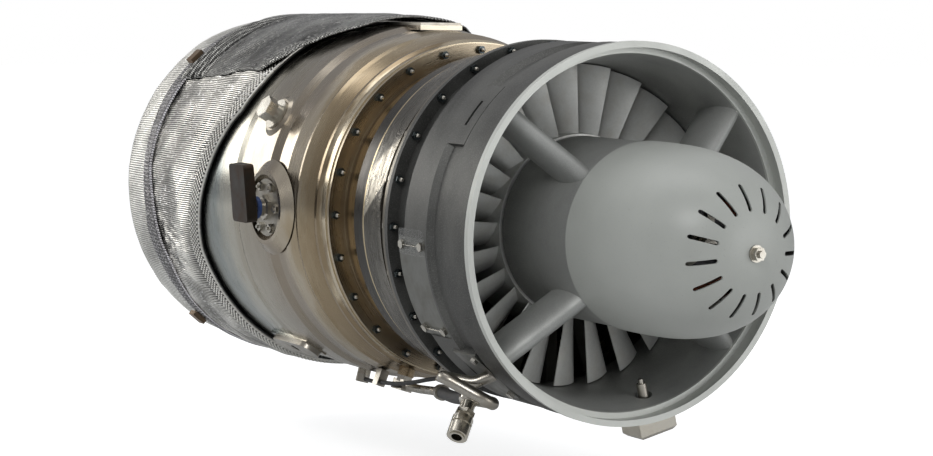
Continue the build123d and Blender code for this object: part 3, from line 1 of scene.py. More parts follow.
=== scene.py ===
# %% [markdown]
# A small turbojet engine, dressed for its portrait. The engine's hard parts come as a finished CAD frame:
# casings, rotors, pipes and brackets, all in one shared space. This notebook adds what a frame can't hold:
# finishes, stitches, studs, lockwire and the quilted heat blanket.

# %% Load the engine's frame
import math

import bmesh
import bpy
import numpy as np
from mathutils import Matrix, Vector


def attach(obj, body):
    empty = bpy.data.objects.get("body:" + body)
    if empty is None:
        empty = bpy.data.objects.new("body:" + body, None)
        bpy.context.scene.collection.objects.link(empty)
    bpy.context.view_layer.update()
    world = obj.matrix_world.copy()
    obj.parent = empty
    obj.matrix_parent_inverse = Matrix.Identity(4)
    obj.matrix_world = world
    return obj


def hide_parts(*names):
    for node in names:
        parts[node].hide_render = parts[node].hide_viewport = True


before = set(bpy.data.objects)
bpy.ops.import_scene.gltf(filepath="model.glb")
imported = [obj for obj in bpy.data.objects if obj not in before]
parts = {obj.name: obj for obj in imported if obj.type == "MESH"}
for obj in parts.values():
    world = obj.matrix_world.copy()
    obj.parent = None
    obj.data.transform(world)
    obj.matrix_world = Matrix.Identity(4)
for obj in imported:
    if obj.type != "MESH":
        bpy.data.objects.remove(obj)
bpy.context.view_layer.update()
scene = bpy.context.scene
scene.view_settings.view_transform = "Standard"

# %% [markdown]
# The engine's axis runs along Y, with the air intake facing -Y and Z up. A place on it is easiest to say as
# an angle round the axis, counted from the top towards +X, a distance along the axis and a radius. Shapes are
# written in millimetres, as on the engine's drawings, and one helper turns such a place into metres. Lamps,
# the camera and the patterns in materials keep Blender's metres.

# %% Places round the engine
MM = 0.001
RIM_R = 165.0


def around(angle, along, radius):
    """The point at an angle in degrees, and a distance and radius in millimetres."""
    turn = math.radians(angle)
    return Vector((radius * math.sin(turn), along, radius * math.cos(turn))) * MM


def outward(angle):
    """The direction away from the axis at an angle."""
    turn = math.radians(angle)
    return Vector((math.sin(turn), 0, math.cos(turn)))


def frame_at(angle, along, radius):
    """A matrix whose local Z points away from the axis and local Y aft, standing at a place."""
    z = outward(angle)
    y = Vector((0, 1, 0))
    turn = Matrix((y.cross(z), y, z)).transposed().to_4x4()
    return Matrix.Translation(around(angle, along, radius)) @ turn


def placed(name, data):
    """A new object in the scene for a mesh, curve, lamp or camera."""
    made = bpy.data.objects.new(name, data)
    scene.collection.objects.link(made)
    return made


print("The rim's top is at", tuple(round(v, 4) for v in around(0, 0, RIM_R)))

# %% [markdown]
# The camera stands in front of the engine's left flank, a little above the axis, with a long lens. Its
# distance, lens and tilt come from matching the circles of the intake rim, the flanges and the cowl.

# %% Camera
VIEW_AZIMUTH = -30.24
VIEW_ELEVATION = 5.06
VIEW_ROLL = 0.93
VIEW_DISTANCE = 2.17443
VIEW_SIDE = 0.14349
VIEW_RISE = -0.00595
FOCAL_PIXELS = 2553.31
FRAME_PIXELS = 933
SENSOR_WIDTH = 36.0
FAR_CLIP = 50


def camera_matrix():
    """The camera's place: local X to the right of the picture, Y up it and Z back from it."""
    azimuth, elevation = math.radians(VIEW_AZIMUTH), math.radians(VIEW_ELEVATION)
    back = Vector((math.sin(azimuth) * math.cos(elevation), -math.cos(azimuth) * math.cos(elevation),
                   math.sin(elevation)))
    level = Vector((math.cos(azimuth), math.sin(azimuth), 0))
    upright = back.cross(level)
    roll = math.radians(VIEW_ROLL)
    right = level * math.cos(roll) + upright * math.sin(roll)
    up = upright * math.cos(roll) - level * math.sin(roll)
    place = back * VIEW_DISTANCE - right * VIEW_SIDE - up * VIEW_RISE
    return Matrix.Translation(place) @ Matrix((right, up, back)).transposed().to_4x4()


camera_data = bpy.data.cameras.new("Camera")
camera_data.sensor_width = SENSOR_WIDTH
camera_data.lens = FOCAL_PIXELS * SENSOR_WIDTH / FRAME_PIXELS
camera_data.clip_end = FAR_CLIP
camera = placed("Camera", camera_data)
camera.matrix_world = camera_matrix()
scene.camera = camera
print("Lens", round(camera_data.lens, 1), "mm at", tuple(round(v, 3) for v in camera.location))

# %% [markdown]
# Bare metal shows its surroundings more than its own colour, so the world answers two questions. As light it
# is a plain cool white. As what the camera and the gloss see it is white behind the engine and, in
# reflections, grey that darkens towards the horizon, which gives the casings their dark bands.

# %% World
WHITE = (1, 1, 1, 1)
WORLD_TINT = (0.93, 0.96, 1.0, 1)
WORLD_LIGHT = 0.50
GLOSS_HORIZON = (0.15, 0.15, 0.155, 1)
GLOSS_ZENITH = (0.55, 0.55, 0.56, 1)
GLOSS_LOW, GLOSS_HIGH = -0.45, 0.75


def node(tree, kind, links=None, **settings):
    """A new shader or geometry node, its settings, and values or sockets for its inputs."""
    made = tree.nodes.new(kind)
    for name, value in settings.items():
        setattr(made, name, value)
    for key, value in (links or {}).items():
        if isinstance(value, bpy.types.NodeSocket):
            tree.links.new(value, made.inputs[key])
        else:
            made.inputs[key].default_value = value
    return made


def largest(tree, *sockets):
    """The largest of several values, here used as "any of these rays"."""
    most = sockets[0]
    for socket in sockets[1:]:
        most = node(tree, "ShaderNodeMath", {0: most, 1: socket}, operation="MAXIMUM").outputs[0]
    return most


world = bpy.data.worlds.new("Studio")
scene.world = world
world.use_nodes = True
sky = world.node_tree
sky.nodes.clear()
ray = node(sky, "ShaderNodeLightPath").outputs
place = node(sky, "ShaderNodeSeparateXYZ", {0: node(sky, "ShaderNodeTexCoord").outputs["Generated"]})
height = node(sky, "ShaderNodeMapRange", {0: place.outputs["Z"], 1: GLOSS_LOW, 2: GLOSS_HIGH})
gloss = node(sky, "ShaderNodeMix", {0: height.outputs[0], 6: GLOSS_HORIZON, 7: GLOSS_ZENITH},
             data_type="RGBA")
seen = node(sky, "ShaderNodeMix", {0: ray["Is Camera Ray"], 6: gloss.outputs[2], 7: WHITE}, data_type="RGBA")
direct = largest(sky, ray["Is Camera Ray"], ray["Is Glossy Ray"], ray["Is Transmission Ray"])
light = node(sky, "ShaderNodeBackground", {"Color": WORLD_TINT, "Strength": WORLD_LIGHT})
shown = node(sky, "ShaderNodeBackground", {"Color": seen.outputs[2], "Strength": 1.0})
mixed = node(sky, "ShaderNodeMixShader", {0: direct, 1: light.outputs[0], 2: shown.outputs[0]})
node(sky, "ShaderNodeOutputWorld", {0: mixed.outputs[0]})
print("World of", len(sky.nodes), "nodes")

# %% [markdown]
# Four soft boxes make the long highlights. The key stands high on the left, the front box lights the nose and
# the duct from the right, the top box draws a line along the casings, and the back box, behind and to the
# left, is what the casings' near flank mirrors to the camera.

# %% Lamps


def soft_box(name, place, aim, size, watts, tint=(1, 1, 1)):
    """A rectangular lamp at a place, turned to its aim, which the camera doesn't see."""
    data = bpy.data.lights.new(name, "AREA")
    data.shape = "RECTANGLE"
    data.size, data.size_y = size
    data.energy = watts
    data.color = tint
    lamp = placed(name, data)
    lamp.location = place
    lamp.rotation_euler = (Vector(aim) - Vector(place)).to_track_quat("-Z", "Y").to_euler()
    lamp.visible_camera = False


soft_box("key_box", (-2.1, -1.3, 1.9), aim=(0, 0.2, 0), size=(1.6, 0.7), watts=30)
soft_box("front_box", (1.5, -2.6, 0.2), aim=(0, -0.1, 0), size=(2.2, 1.8), watts=36)
soft_box("top_box", (-0.3, 0.7, 2.1), aim=(0, 0.35, 0), size=(0.9, 2.0), watts=12)
soft_box("back_box", (-1.4, 3.2, 0.75), aim=(-0.1, 0.4, 0), size=(1.1, 1.0), watts=16, tint=(1.0, 0.98, 0.94))
print(len(bpy.data.lights), "soft boxes")

# %% [markdown]
# The floor is pale paper. Its own light is added only for the camera and for what is seen through clear
# things, so it looks white and still keeps the engine's shadow. In reflections nearly all of that light is
# left out, because the engine's underside is dark in such a studio.

# %% Floor
FLOOR_Z = -0.262
FLOOR_REACH = 14.0
FLOOR_GREY = (0.70, 0.70, 0.70, 1)
FLOOR_LIFT = 0.68
GLOSS_FLOOR = 0.04

floor_mesh = bpy.data.meshes.new("floor")
corners = [(x * FLOOR_REACH, y * FLOOR_REACH, FLOOR_Z) for x, y in ((-1, -1), (1, -1), (1, 1), (-1, 1))]
floor_mesh.from_pydata(corners, [], [(0, 1, 2, 3)])
floor = placed("floor", floor_mesh)
paper = bpy.data.materials.new("white_paper")
paper.use_nodes = True
tree = paper.node_tree
tree.nodes.clear()
ray = node(tree, "ShaderNodeLightPath").outputs
body = node(tree, "ShaderNodeBsdfDiffuse", {"Color": FLOOR_GREY})
lift = node(tree, "ShaderNodeEmission", {"Color": WHITE, "Strength": FLOOR_LIFT})
both = node(tree, "ShaderNodeAddShader", {0: body.outputs[0], 1: lift.outputs[0]})
gloss = node(tree, "ShaderNodeMath", {0: ray["Is Glossy Ray"], 1: GLOSS_FLOOR}, operation="MULTIPLY")
direct = largest(tree, ray["Is Camera Ray"], ray["Is Transmission Ray"], gloss.outputs[0])
pick = node(tree, "ShaderNodeMixShader", {0: direct, 1: body.outputs[0], 2: both.outputs[0]})
node(tree, "ShaderNodeOutputMaterial", {0: pick.outputs[0]})
floor_mesh.materials.append(paper)
print("Floor at", FLOOR_Z)

# %% [markdown]
# Most of the engine was turned on a lathe or spun, so its marks run round the axis. Materials read the Object
# coordinates, which are the engine's own, and this group turns them into distance round, distance along and
# radius. A pattern that is stretched in the first of these looks like lathe marks.

# %% Coordinates round the axis
ring_space = bpy.data.node_groups.new("ring_space", "ShaderNodeTree")
for name in ("Ring", "Plain"):
    ring_space.interface.new_socket(name, in_out="OUTPUT", socket_type="NodeSocketVector")
for name in ("Along", "Radius", "Angle"):
    ring_space.interface.new_socket(name, in_out="OUTPUT", socket_type="NodeSocketFloat")
plain = node(ring_space, "ShaderNodeTexCoord").outputs["Object"]
split = node(ring_space, "ShaderNodeSeparateXYZ", {0: plain}).outputs
angle = node(ring_space, "ShaderNodeMath", {0: split["X"], 1: split["Z"]}, operation="ARCTAN2")
distance = node(ring_space, "ShaderNodeMath", {0: angle.outputs[0], 1: RIM_R * MM}, operation="MULTIPLY")
flat = node(ring_space, "ShaderNodeCombineXYZ", {0: split["X"], 1: split["Z"]})
radius = node(ring_space, "ShaderNodeVectorMath", {0: flat.outputs[0]}, operation="LENGTH").outputs["Value"]
ring = node(ring_space, "ShaderNodeCombineXYZ", {0: distance.outputs[0], 1: split["Y"], 2: radius})
node(ring_space, "NodeGroupOutput", {"Ring": ring.outputs[0], "Plain": plain, "Along": split["Y"],
                                     "Radius": radius, "Angle": angle.outputs[0]})
print("Ring space gives", [item.name for item in ring_space.interface.items_tree])

# %% [markdown]
# Every finish starts the same way: a Principled shader, the ring coordinates, and a few patterns mixed into
# colour, roughness and bump. These helpers keep each finish to a few readable lines.

# %% Helpers for finishes
NOISE_ROUGHNESS = 0.55


class Finish:
    """A material under construction: its tree, its shader and its place coordinates."""

    def __init__(self, name, metallic, roughness, colour):
        self.material = bpy.data.materials.new(name)
        self.material.use_nodes = True
        self.material.diffuse_color = (*colour, 1)
        self.tree = self.material.node_tree
        self.shader = next(item for item in self.tree.nodes if item.type == "BSDF_PRINCIPLED")
        self.shader.inputs["Metallic"].default_value = metallic
        self.shader.inputs["Roughness"].default_value = roughness
        self.shader.inputs["Base Color"].default_value = (*colour, 1)
        self.space = self.add("ShaderNodeGroup", node_tree=ring_space).outputs

    def add(self, kind, links=None, **settings):
        """A new node in this finish's tree."""
        return node(self.tree, kind, links, **settings)

    def math(self, operation, *values):
        """The result of a sum or comparison."""
        return self.add("ShaderNodeMath", dict(enumerate(values)), operation=operation).outputs[0]

    def cloud(self, scale, detail, space="Ring", distortion=0.0):
        """Noise from 0 to 1, scaled round, along and out, or in X, Y and Z of the Plain space."""
        stretched = self.add("ShaderNodeVectorMath", {0: self.space[space], 1: scale}, operation="MULTIPLY")
        made = self.add("ShaderNodeTexNoise", {"Vector": stretched.outputs[0], "Scale": 1.0, "Detail": detail,
                                               "Roughness": NOISE_ROUGHNESS, "Distortion": distortion})
        return made.outputs["Fac"]

    def grain(self, scale, detail):
        """Noise that has no direction."""
        return self.cloud((scale, scale, scale), detail, "Plain")

    def stage(self, value, low, high, start=0.0, end=1.0):
        """Stretches part of a pattern's range to run from start to end."""
        return self.add("ShaderNodeMapRange", {0: value, 1: low, 2: high, 3: start, 4: end}).outputs[0]

    def blend(self, factor, first, second, mode="MIX"):
        """Mixes two colours."""
        first, second = ((*item, 1) if isinstance(item, tuple) else item for item in (first, second))
        made = self.add("ShaderNodeMix", {0: factor, 6: first, 7: second}, data_type="RGBA", blend_type=mode)
        return made.outputs[2]

    def over(self, colour, other, pattern, low, high, amount=1.0, mode="MIX"):
        """Lays another colour over one, where a pattern runs from low to high."""
        return self.blend(self.stage(pattern, low, high, 0, amount), colour, other, mode)

    def ramp(self, value, stops):
        """Colours along a value from 0 to 1."""
        made = self.add("ShaderNodeValToRGB", {0: value})
        made.color_ramp.interpolation = "EASE"
        for index, (at, colour) in enumerate(stops):
            stop = made.color_ramp.elements[index] if index < 2 else made.color_ramp.elements.new(at)
            stop.position = at
            stop.color = (*colour, 1)
        return made.outputs[0]

    def colour(self, socket):
        """Connects the finished colour."""
        self.tree.links.new(socket, self.shader.inputs["Base Color"])

    def roughness(self, socket):
        """Connects the finished roughness."""
        self.tree.links.new(socket, self.shader.inputs["Roughness"])

    def bump(self, height, depth, strength=1.0):
        """Adds relief: depth in metres for a pattern that runs from 0 to 1."""
        made = self.add("ShaderNodeBump", {"Height": height, "Distance": depth, "Strength": strength})
        normal = self.shader.inputs["Normal"]
        if normal.is_linked:
            self.tree.links.new(normal.links[0].from_socket, made.inputs["Normal"])
        self.tree.links.new(made.outputs[0], normal)


def shade(colour, share):
    """A darker or lighter colour."""
    return tuple(min(1, part * share) for part in colour)


def wear(obj, finish):
    """Gives an object its finish, in place of what it had."""
    obj.data.materials.clear()
    obj.data.materials.append(finish)


print("Finish helpers ready")

# %% [markdown]
# The intake is one light alloy casting. Its mouth, duct, hub and struts have a satin grey coating, a little
# green, while the outside is left in a dark gunmetal etch. One material does both: it compares the radius
# with a line that lies inside the duct's wall and steps outwards where the wall does, towards the mouth.

# %% Coated and etched casting
COATING = (0.35, 0.36, 0.335)
RIM_GREY = (0.52, 0.53, 0.50)
DUCT_GREY = (0.36, 0.365, 0.35)
GUNMETAL = (0.066, 0.066, 0.062)
ETCH_BLOOM = (0.2, 0.2, 0.19)
DUCT_WALL_R = 0.1495
DUCT_WALL_STEPS = ((0.1125, 0.0067), (0.0128, 0.0055), (0.0055, 0.1))
RIM_INNER_R = 0.1535
RIM_DEPTH = 0.014
# Painted shade in the duct: its grey darkens between these two distances along, in metres.
DUCT_PAINTED_SHADE_FROM, DUCT_PAINTED_SHADE_TO = 0.045, 0.10


def outside_the_duct(finish):
    """1 outside the duct's wall and 0 inside it."""
    wall = DUCT_WALL_R
    for limit, step in DUCT_WALL_STEPS:
        ahead = finish.math("LESS_THAN", finish.space["Along"], limit)
        wall = finish.math("ADD", wall, finish.math("MULTIPLY", ahead, step))
    return finish.math("GREATER_THAN", finish.space["Radius"], wall)


def casting_finish():
    """A satin coating inside the duct and a mottled etch outside it."""
    finish = Finish("casting_grey", 0.6, 0.43, COATING)
    along = finish.space["Along"]
    grain = finish.grain(900, 3)
    stain = finish.cloud((22, 30, 22), 5, "Plain")
    smudge = finish.cloud((7, 16, 7), 5, "Plain", distortion=0.6)
    rim = finish.math("MULTIPLY", finish.math("GREATER_THAN", finish.space["Radius"], RIM_INNER_R),
                      finish.math("LESS_THAN", along, RIM_DEPTH))
    # Painted shade: further into the duct its grey is painted darker, down to half.
    duct = finish.over(DUCT_GREY, shade(DUCT_GREY, 0.50), along, DUCT_PAINTED_SHADE_FROM, DUCT_PAINTED_SHADE_TO)
    duct = finish.over(duct, shade(DUCT_GREY, 0.70), stain, 0.42, 0.75, 0.6)
    duct = finish.over(duct, shade(DUCT_GREY, 1.25), grain, 0.45, 0.65, 0.3)
    etched = finish.over(GUNMETAL, shade(GUNMETAL, 1.7), stain, 0.35, 0.7)
    etched = finish.over(etched, shade(GUNMETAL, 0.40), smudge, 0.50, 0.68, 0.8)
    etched = finish.over(etched, ETCH_BLOOM, grain, 0.5, 0.7, 0.35)
    outside = outside_the_duct(finish)
    finish.colour(finish.blend(outside, finish.blend(rim, duct, RIM_GREY), etched))
    satin = finish.stage(stain, 0.3, 0.7, 0.48, 0.60)
    finish.roughness(finish.math("SUBTRACT", satin, finish.math("MULTIPLY", outside, 0.06)))
    finish.bump(grain, 0.00006, 0.5)
    return finish.material


wear(parts["intake_casing"], casting_finish())
print("The casting wears its coating and etch")

# %% [markdown]
# The bullet cowl is spun from sheet and painted with the same satin grey, smoother than the casting. Fine
# scratches run round it, and a soft haze makes some of the paint lighter and duller than the rest.

# %% Painted cowl
COWL_SPECK = (0.22, 0.22, 0.21)


def cowl_finish():
    """Satin paint with haze, specks and fine scratches."""
    finish = Finish("cowl_paint", 0.0, 0.42, COATING)
    scratches = finish.cloud((18, 1600, 1600), 4)
    haze = finish.grain(14, 4)
    tone = finish.over(shade(COATING, 0.97), shade(COATING, 1.08), haze, 0.35, 0.7)
    finish.colour(finish.over(tone, COWL_SPECK, finish.grain(700, 2), 0.66, 0.74, 0.4))
    finish.roughness(finish.stage(haze, 0.3, 0.75, 0.38, 0.48))
    finish.bump(scratches, 0.00002, 0.3)
    return finish.material


wear(parts["nose_cowl"], cowl_finish())
print("The cowl wears its paint")

# %% [markdown]
# Behind the intake the casings are bare heat resisting steel. Heat has tinted them straw, bronze and a little
# blue, in bands that follow the gas temperature along the axis. A ramp along Y gives the bands, stretched
# noise gives the marks of spinning and polishing, and larger clouds break the bands up as real tint does.

# %% Turned and tinted steel
NECK_START, CASE_START, CASE_END = 0.147, 0.270, 0.540
POLISH_MARKS = (0.86, 0.84, 0.80)
BROWN_SMUDGE = (0.72, 0.66, 0.56)
NECK_TINTS = (
    (0.0, (0.16, 0.15, 0.13)), (0.06, (0.20, 0.18, 0.15)), (0.13, (0.50, 0.43, 0.31)),
    (0.19, (0.60, 0.53, 0.39)), (0.24, (0.15, 0.14, 0.125)), (0.50, (0.08, 0.074, 0.07)),
    (0.53, (0.66, 0.54, 0.34)), (0.57, (0.036, 0.034, 0.031)), (0.72, (0.045, 0.039, 0.033)),
    (0.80, (0.38, 0.285, 0.165)), (0.88, (0.46, 0.35, 0.21)), (0.92, (0.20, 0.155, 0.105)),
    (1.0, (0.60, 0.53, 0.41)),
)
CASE_TINTS = (
    (0.0, (0.56, 0.49, 0.37)), (0.03, (0.27, 0.21, 0.135)), (0.12, (0.31, 0.245, 0.16)),
    (0.17, (0.38, 0.315, 0.22)), (0.22, (0.46, 0.41, 0.33)), (0.30, (0.30, 0.26, 0.21)),
    (0.45, (0.32, 0.29, 0.24)), (0.58, (0.38, 0.355, 0.30)), (0.68, (0.42, 0.41, 0.36)),
    (0.80, (0.26, 0.285, 0.28)), (1.0, (0.24, 0.24, 0.225)),
)


def tinted_steel(name, start, end, tints, roughness, waver):
    """Steel whose colour follows tints along Y from start to end, in metres; waver bends the bands."""
    finish = Finish(name, 1.0, sum(roughness) / 2, tints[0][1])
    share = finish.stage(finish.space["Along"], start, end)
    share = finish.math("ADD", share, finish.stage(finish.cloud((9, 24, 12), 5), 0.3, 0.7, -waver, waver))
    marks = finish.cloud((10, 1400, 1400), 5)
    smudge = finish.cloud((30, 60, 30), 6)
    colour = finish.over(finish.ramp(share, tints), POLISH_MARKS, marks, 0.3, 0.7, 0.25, "MULTIPLY")
    finish.colour(finish.over(colour, BROWN_SMUDGE, smudge, 0.5, 0.75, 0.45, "MULTIPLY"))
    finish.roughness(finish.math("ADD", finish.stage(marks, 0.3, 0.7, *roughness),
                                 finish.stage(smudge, 0.4, 0.7, 0, 0.08)))
    finish.bump(marks, 0.00001, 0.3)
    finish.bump(finish.cloud((13, 13, 13), 2), 0.0004, 0.2)
    return finish.material


neck_steel = tinted_steel("compressor_steel", NECK_START, CASE_START, NECK_TINTS, (0.20, 0.34), 0.015)
case_steel = tinted_steel("combustor_steel", CASE_START, CASE_END, CASE_TINTS, (0.18, 0.27), 0.06)
wear(parts["compressor_casing"], neck_steel)
wear(parts["combustor_casing"], case_steel)
print("Tinted steel on both casings")

# %% [markdown]
# Small fittings are plated or stainless steel: bright, with clouds of a faint warm stain. The hot end's
# hidden parts are darker nickel alloy with a brown oxide. One function makes them all, from a colour, a
# roughness and how stained they are.

# %% Plain metals
WARM_STAIN = (0.62, 0.52, 0.40)
RUST_STAIN = (1.4, 0.9, 0.6)


def plain_metal(name, colour, roughness, warm=WARM_STAIN, stained=0.35, grain=300, metallic=1.0):
    """Plated or oxidised metal with clouds of stain."""
    finish = Finish(name, metallic, roughness, colour)
    clouds = finish.grain(60, 5)
    fine = finish.grain(grain, 3)
    stain = tuple(part * cast for part, cast in zip(colour, warm))
    tone = finish.over(colour, stain, clouds, 0.45, 0.75, stained)
    finish.colour(finish.over(tone, shade(colour, 0.7), fine, 0.4, 0.7, 0.2))
    finish.roughness(finish.stage(clouds, 0.3, 0.75, roughness * 0.8, roughness * 1.35))
    finish.bump(fine, 0.00002, 0.4)
    return finish.material


STEEL = plain_metal("stainless_steel", (0.50, 0.48, 0.43), 0.27)
PLATED = plain_metal("nickel_plate", (0.60, 0.57, 0.50), 0.18, stained=0.3)
NICKEL = plain_metal("nickel_alloy", (0.38, 0.33, 0.27), 0.38, stained=0.7)
BLADE = plain_metal("blade_metal", (0.58, 0.585, 0.56), 0.46, stained=0.25, grain=500, metallic=0.55)
# A darker copy of the blade metal: painted shade for the blades and vanes that stand deeper in the engine.
SHADED_BLADE = plain_metal("blade_metal_painted_shade", (0.10, 0.098, 0.09), 0.42, stained=0.5, grain=500)
IRON = plain_metal("laminated_iron", (0.16, 0.16, 0.17), 0.5)
NUT = plain_metal("nut_blue_green", (0.09, 0.11, 0.12), 0.28, stained=0.5)
BROWN = plain_metal("brown_oxide", (0.22, 0.16, 0.11), 0.5)
# A darker copy of the stainless steel, as painted shade, for the pipes, clips, side port adaptor and
# brackets.
SHADED_STEEL = plain_metal("steel_painted_shade", (0.36, 0.34, 0.30), 0.30, stained=0.5)
BLOCK = plain_metal("blackened_steel", (0.055, 0.048, 0.042), 0.44, warm=RUST_STAIN, stained=0.9)
PLATE = plain_metal("cover_plate_grey", (0.18, 0.182, 0.17), 0.40, stained=0.3)
print("Plain metals ready")

# %% [markdown]
# The strap round the neck is dull adhesive foil. It has long creases, painted darker along them as painted
# shade, and one length of it is painted bright with slanted ends, a painted highlight. The slant is the angle
# round the axis plus some of the distance along it.

# %% Foil strap
STRAP_SLANT = 7.0
PAINTED_HIGHLIGHT_START, PAINTED_HIGHLIGHT_START_FADE = -0.10, 0.015
PAINTED_HIGHLIGHT_END, PAINTED_HIGHLIGHT_END_FADE = 0.22, -0.06
STRAP_GREY = (0.13, 0.125, 0.11)
STRAP_HIGHLIGHT_COLOUR = (0.42, 0.39, 0.33)
STRAP_CREASE_SHADE = (0.09, 0.085, 0.075)


def foil_strap_finish():
    """Dull foil with painted shade along its long creases and one length in a painted highlight."""
    finish = Finish("strap_foil", 1.0, 0.24, STRAP_GREY)
    crease = finish.cloud((46, 140, 46), 5, distortion=1.6)
    rubbed = finish.cloud((15, 40, 15), 3)
    tone = finish.over((0.085, 0.08, 0.07), (0.17, 0.16, 0.14), rubbed, 0.48, 0.72)
    slant = finish.math("ADD", finish.space["Angle"],
                        finish.math("MULTIPLY", finish.space["Along"], STRAP_SLANT))
    # A length with slanted ends is painted bright: a painted highlight on the foil.
    painted_highlight = finish.math("MULTIPLY", finish.stage(slant, PAINTED_HIGHLIGHT_START, PAINTED_HIGHLIGHT_START + PAINTED_HIGHLIGHT_START_FADE),
                        finish.stage(slant, PAINTED_HIGHLIGHT_END, PAINTED_HIGHLIGHT_END + PAINTED_HIGHLIGHT_END_FADE))
    tone = finish.blend(painted_highlight, tone, STRAP_HIGHLIGHT_COLOUR)
    # The creases are painted darker: painted shade in the folds.
    finish.colour(finish.over(tone, STRAP_CREASE_SHADE, crease, 0.55, 0.66, 0.6))
    finish.roughness(finish.stage(rubbed, 0.3, 0.7, 0.34, 0.2))
    finish.bump(crease, 0.0011, 0.7)
    return finish.material


STRAP = foil_strap_finish()
print("The strap's finish is", STRAP.name)

# %% [markdown]
# Each of the frame's pieces now gets the finish that it has on the real engine. The list goes from a finish
# to the pieces that wear it, which is how a workshop sorts parts for plating or painting.

# %% Who wears what
FINISHES = {
    STEEL: ("nose_support", "nose_nut", "inlet_probe", "shaft", "shaft_nuts", "front_bearing_inner",
            "front_bearing_outer", "front_bearing_balls", "rear_bearing_inner", "rear_bearing_outer",
            "rear_bearing_rollers", "cover_bolts", "flange_bolts", "igniter_plug"),
    STRAP: ("casing_strap",),
    SHADED_STEEL: ("fuel_pipe", "feed_pipe", "lead_clips", "side_mount_adaptor", "top_mount_bracket",
                 "lower_mount_bracket"),
    PLATED: ("coupler_body", "coupler_sleeve", "probe_housing"),
    NICKEL: ("inner_casing", "flame_tube", "fuel_manifold", "turbine_nozzle", "turbine_rotor",
             "turbine_shroud", "exhaust_casing", "jet_pipe", "tail_cone"),
    BLADE: ("rotor_1",),
    SHADED_BLADE: ("rotor_2", "rotor_3", "stator_vanes_1", "stator_vanes_2", "outlet_guide_vanes"),
    IRON: ("alternator_core", "alternator_rotor", "alternator_housing"),
    NUT: ("flange_nuts",),
    BROWN: ("blanket_lugs",),
    BLOCK: ("side_mount_block",),
    PLATE: ("side_cover_plate", "lower_cover_plate"),
}
for finish, names in FINISHES.items():
    for name in names:
        wear(parts[name], finish)
print(len(FINISHES), "plain finishes given out")

# %% [markdown]
# Rubber and enamelled wire aren't metal: low gloss, with a fine grain. The windings show as reddish brown
# through the cowl's slots, so their strands are worth a stripe pattern.

# %% Rubber and windings
WIRE_DARK = (0.12, 0.03, 0.02)
WIRE_BRIGHT = (0.45, 0.14, 0.07)


def rubber(name, colour, roughness=0.6):
    """A dull soft finish with dust on it."""
    finish = Finish(name, 0.0, roughness, colour)
    dust = finish.grain(400, 3)
    dusty = tuple(part * 1.9 + 0.02 for part in colour)
    finish.colour(finish.over(colour, dusty, dust, 0.4, 0.75, 0.5))
    finish.roughness(finish.stage(dust, 0.3, 0.7, roughness - 0.08, roughness + 0.1))
    finish.bump(dust, 0.00003, 0.5)
    return finish.material


def winding_finish():
    """Enamelled wire, strand beside strand."""
    finish = Finish("enamelled_wire", 0.6, 0.3, (0.30, 0.09, 0.05))
    strands = finish.add("ShaderNodeTexWave", {"Vector": finish.space["Ring"], "Scale": 260.0,
                                               "Distortion": 1.5, "Detail": 2.0}, bands_direction="Z")
    finish.colour(finish.blend(strands.outputs["Fac"], WIRE_DARK, WIRE_BRIGHT))
    finish.bump(strands.outputs["Fac"], 0.0002)
    return finish.material


BLACK_RUBBER = rubber("black_rubber", (0.022, 0.022, 0.022))
wear(parts["side_mount_seal"], rubber("blue_seal", (0.02, 0.05, 0.16), 0.4))
wear(parts["alternator_windings"], winding_finish())
for name in ("fuel_hose", "sensor_lead"):
    wear(parts[name], BLACK_RUBBER)
print("Rubber and wire finishes given out")

# %% [markdown]
# The heat blanket is a quilt: two sheets of embossed metal foil with felt between them, stitched at the
# edges. Its panels are too finely ribbed to sculpt and too creased for a plain bump, so each one is a grid of
# points worked out with numpy: a row for each step along the engine, four columns for each rib round it. Rows
# close on themselves, and so do columns on a panel that goes right round, which makes one closed shell. A
# value called relief is kept on every point, 0 in a groove and 1 on a crest, for the material to darken the
# grooves with.

# %% Grids of points round the engine
BLANKET_R = 178


def grid_faces(rows, columns, closed):
    """The four corners of each face in a grid whose rows close, and whose columns may."""
    row, column = np.meshgrid(np.arange(rows), np.arange(columns if closed else columns - 1), indexing="ij")
    after, beside = (row + 1) % rows, (column + 1) % columns
    corners = (row * columns + column, row * columns + beside,
               after * columns + beside, after * columns + column)
    return np.stack(corners, axis=-1).reshape(-1, 4), row.reshape(-1)


def panel_mesh(name, rows, finishes, felt_rows=(), closed=True):
    """A closed shell; each row holds the columns' degrees, millimetres along, radii and relief."""
    angle, along, radius, relief = (np.stack([row[part] for row in rows]) for part in range(4))
    turn = np.radians(angle)
    points = np.stack((radius * np.sin(turn), along, radius * np.cos(turn)), axis=-1).reshape(-1, 3) * MM
    faces, face_rows = grid_faces(*angle.shape, closed)
    faces = faces.tolist()
    if not closed:
        first_column = (np.arange(angle.shape[0]) * angle.shape[1]).tolist()
        faces += [first_column, [point + angle.shape[1] - 1 for point in reversed(first_column)]]
    mesh = bpy.data.meshes.new(name)
    mesh.from_pydata(points.tolist(), [], faces)
    mesh.polygons.foreach_set("use_smooth", [True] * len(mesh.polygons))
    for finish in finishes:
        mesh.materials.append(finish)
    if len(felt_rows):
        mesh.polygons.foreach_set("material_index", np.isin(face_rows, felt_rows).astype(int).tolist())
    layer = mesh.attributes.new("relief", "FLOAT", "POINT")
    layer.data.foreach_set("value", relief.reshape(-1).astype(np.float32))
    made = bmesh.new()
    made.from_mesh(mesh)
    bmesh.ops.recalc_face_normals(made, faces=made.faces)
    made.to_mesh(mesh)
    made.free()
    return placed(name, mesh)


def columns_round(count):
    """Angles of the columns of a panel that goes right round."""
    return np.arange(count) * 360 / count - 180


